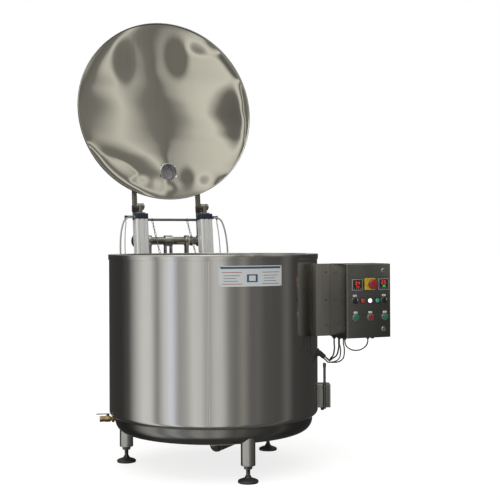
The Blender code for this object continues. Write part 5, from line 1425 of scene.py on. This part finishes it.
# ---- studio ----------------------------------------------------------------------------
# Walls of the room, as azimuths in degrees to the right of the camera, with their brightness.
WALLS = ((-180, 0.80), (-171, 0.45), (-163, 0.05), (-118, 0.041), (-104.4, 0.088), (-92.8, 0.50),
         (-82.2, 0.80), (-72.4, 0.80), (-63.2, 0.26), (-54.4, 0.74), (-45.9, 0.97), (-37.8, 0.38),
         (-29.8, 0.48), (-22, 0.77), (-14.2, 0.73), (-6.6, 0.40), (1.1, 0.68), (8.7, 0.66), (16.4, 0.27),
         (24.2, 0.19), (32, 0.31), (40.1, 0.14), (48.4, 0.16), (56.9, 0.105), (75.1, 0.085), (85.1, 0.165),
         (96, 0.06), (122, 0.048), (163, 0.05), (171, 0.45), (180, 0.80))
# The same walls near the floor, without the light behind the tank.
LOW_WALLS = tuple((angle, min(bright, 0.06) if abs(angle) > 160 else bright) for angle, bright in WALLS)
# The upper part of the walls, which the raised lid mirrors: one stripe for each of its fields.
UPPER_WALLS = ((-180, 0.20), (-110, 0.20), (-92, 0.60), (-30, 0.70), (15, 0.60), (26, 0.20), (31, 0.14),
               (35.2, 0.18), (35.5, 0.72), (36.1, 0.62), (37.1, 0.66), (37.6, 0.76), (37.9, 0.20),
               (38.85, 0.13),
               (39.8, 0.18), (40.1, 0.72), (40.6, 0.55), (41.7, 0.60), (42.2, 0.70), (42.5, 0.18),
               (45.2, 0.12),
               (56, 0.24), (72, 0.50), (84, 0.30), (110, 0.15), (180, 0.20))
TINTS = {-45.9: (0.92, 0.97, 1.08), 32: (1.03, 1.0, 0.90)}
NEUTRAL, KHAKI = (1.0, 0.99, 0.965), (1.0, 0.975, 0.86)
GROUND = (0.10, 0.10, 0.095, 1.0)
CEILING = 1.15
FLOOR_TONE, FLOOR_RADIUS, FLOOR_DROP, FLOOR_GLOW = 1.0, 60.0, 0.0005, 0.80
KEY_POWER, KEY_SPREAD, KEY_TURN = 1.1, 60, (38, -14, -25)      # watts a square metre, and degrees


def make_world():
    world = bpy.data.worlds.new("studio")
    bpy.context.scene.world = world
    world.use_nodes = True
    tree = world.node_tree
    nodes, links = tree.nodes, tree.links
    nodes.clear()
    where = nodes.new("ShaderNodeTexCoord")
    split = nodes.new("ShaderNodeSeparateXYZ")
    links.new(where.outputs["Generated"], split.inputs["Vector"])

    def calc(operation, *values):
        node = nodes.new("ShaderNodeMath")
        node.operation = operation
        for socket, value in zip(node.inputs, values):
            if isinstance(value, (int, float)):
                socket.default_value = value
            else:
                links.new(value, socket)
        return node.outputs["Value"]

    facing = math.atan2(CAMERA_AT.y, CAMERA_AT.x)
    bearing = calc("ARCTAN2", split.outputs["Y"], split.outputs["X"])
    share = calc("FRACT", calc("DIVIDE", calc("ADD", bearing, 3 * math.pi - facing), 2 * math.pi))

    def walls(stops, tone):
        ramp = nodes.new("ShaderNodeValToRGB")
        elements = ramp.color_ramp.elements
        while len(elements) > 1:
            elements.remove(elements[-1])
        for i, (angle, bright) in enumerate(stops):
            at = (angle + 180) / 360
            element = elements[0] if i == 0 else elements.new(at)
            element.position = at
            element.color = tuple(bright * c for c in TINTS.get(angle, tone)) + (1.0,)
        links.new(share, ramp.inputs["Fac"])
        return ramp.outputs["Color"]

    def blend(low, high, first, second):
        step = nodes.new("ShaderNodeMapRange")
        step.interpolation_type = "SMOOTHSTEP"
        step.inputs["From Min"].default_value = low
        step.inputs["From Max"].default_value = high
        links.new(split.outputs["Z"], step.inputs["Value"])
        return mixed(tree, step.outputs["Result"], first, second)

    room = blend(-0.45, -0.25, walls(LOW_WALLS, NEUTRAL), walls(WALLS, NEUTRAL))
    room = blend(0.03, 0.10, room, walls(UPPER_WALLS, KHAKI))
    room = blend(0.62, 0.85, room, (CEILING, CEILING, CEILING, 1.0))
    room = blend(-0.90, -0.62, GROUND, room)
    light = nodes.new("ShaderNodeBackground")
    links.new(room, light.inputs["Color"])
    plain = nodes.new("ShaderNodeBackground")
    plain.inputs["Color"].default_value = (FLOOR_TONE, FLOOR_TONE, FLOOR_TONE, 1.0)
    path = nodes.new("ShaderNodeLightPath")
    choose = nodes.new("ShaderNodeMixShader")
    links.new(path.outputs["Is Camera Ray"], choose.inputs["Fac"])
    links.new(light.outputs["Background"], choose.inputs[1])
    links.new(plain.outputs["Background"], choose.inputs[2])
    links.new(choose.outputs["Shader"], nodes.new("ShaderNodeOutputWorld").inputs["Surface"])


def make_floor():
    bm = bmesh.new()
    bmesh.ops.create_circle(bm, cap_ends=True, radius=FLOOR_RADIUS, segments=96)
    mesh = bpy.data.meshes.new("floor")
    bm.to_mesh(mesh)
    bm.free()
    floor = bpy.data.objects.new("floor", mesh)
    floor.location.z = -FLOOR_DROP
    material = surface("pale_floor", (0.30, 0.30, 0.30), 0.85, 0.0, (3, 3, 3), 0.005, 0.02, 0.0, 0.01)
    shader = material.node_tree.nodes["Principled BSDF"]
    shader.inputs["Specular IOR Level"].default_value = 0.0
    shader.inputs["Emission Color"].default_value = (1, 1, 1, 1)
    shader.inputs["Emission Strength"].default_value = FLOOR_GLOW
    mesh.materials.append(material)
    bpy.context.scene.collection.objects.link(floor)
    floor.visible_glossy = False


def make_light():
    data = bpy.data.lights.new("soft_key", "SUN")
    data.energy = KEY_POWER
    data.angle = math.radians(KEY_SPREAD)
    key = bpy.data.objects.new("soft_key", data)
    key.rotation_euler = tuple(math.radians(a) for a in KEY_TURN)
    bpy.context.scene.collection.objects.link(key)
    bpy.context.scene.view_settings.view_transform = "Standard"


make_world()
make_floor()
make_light()
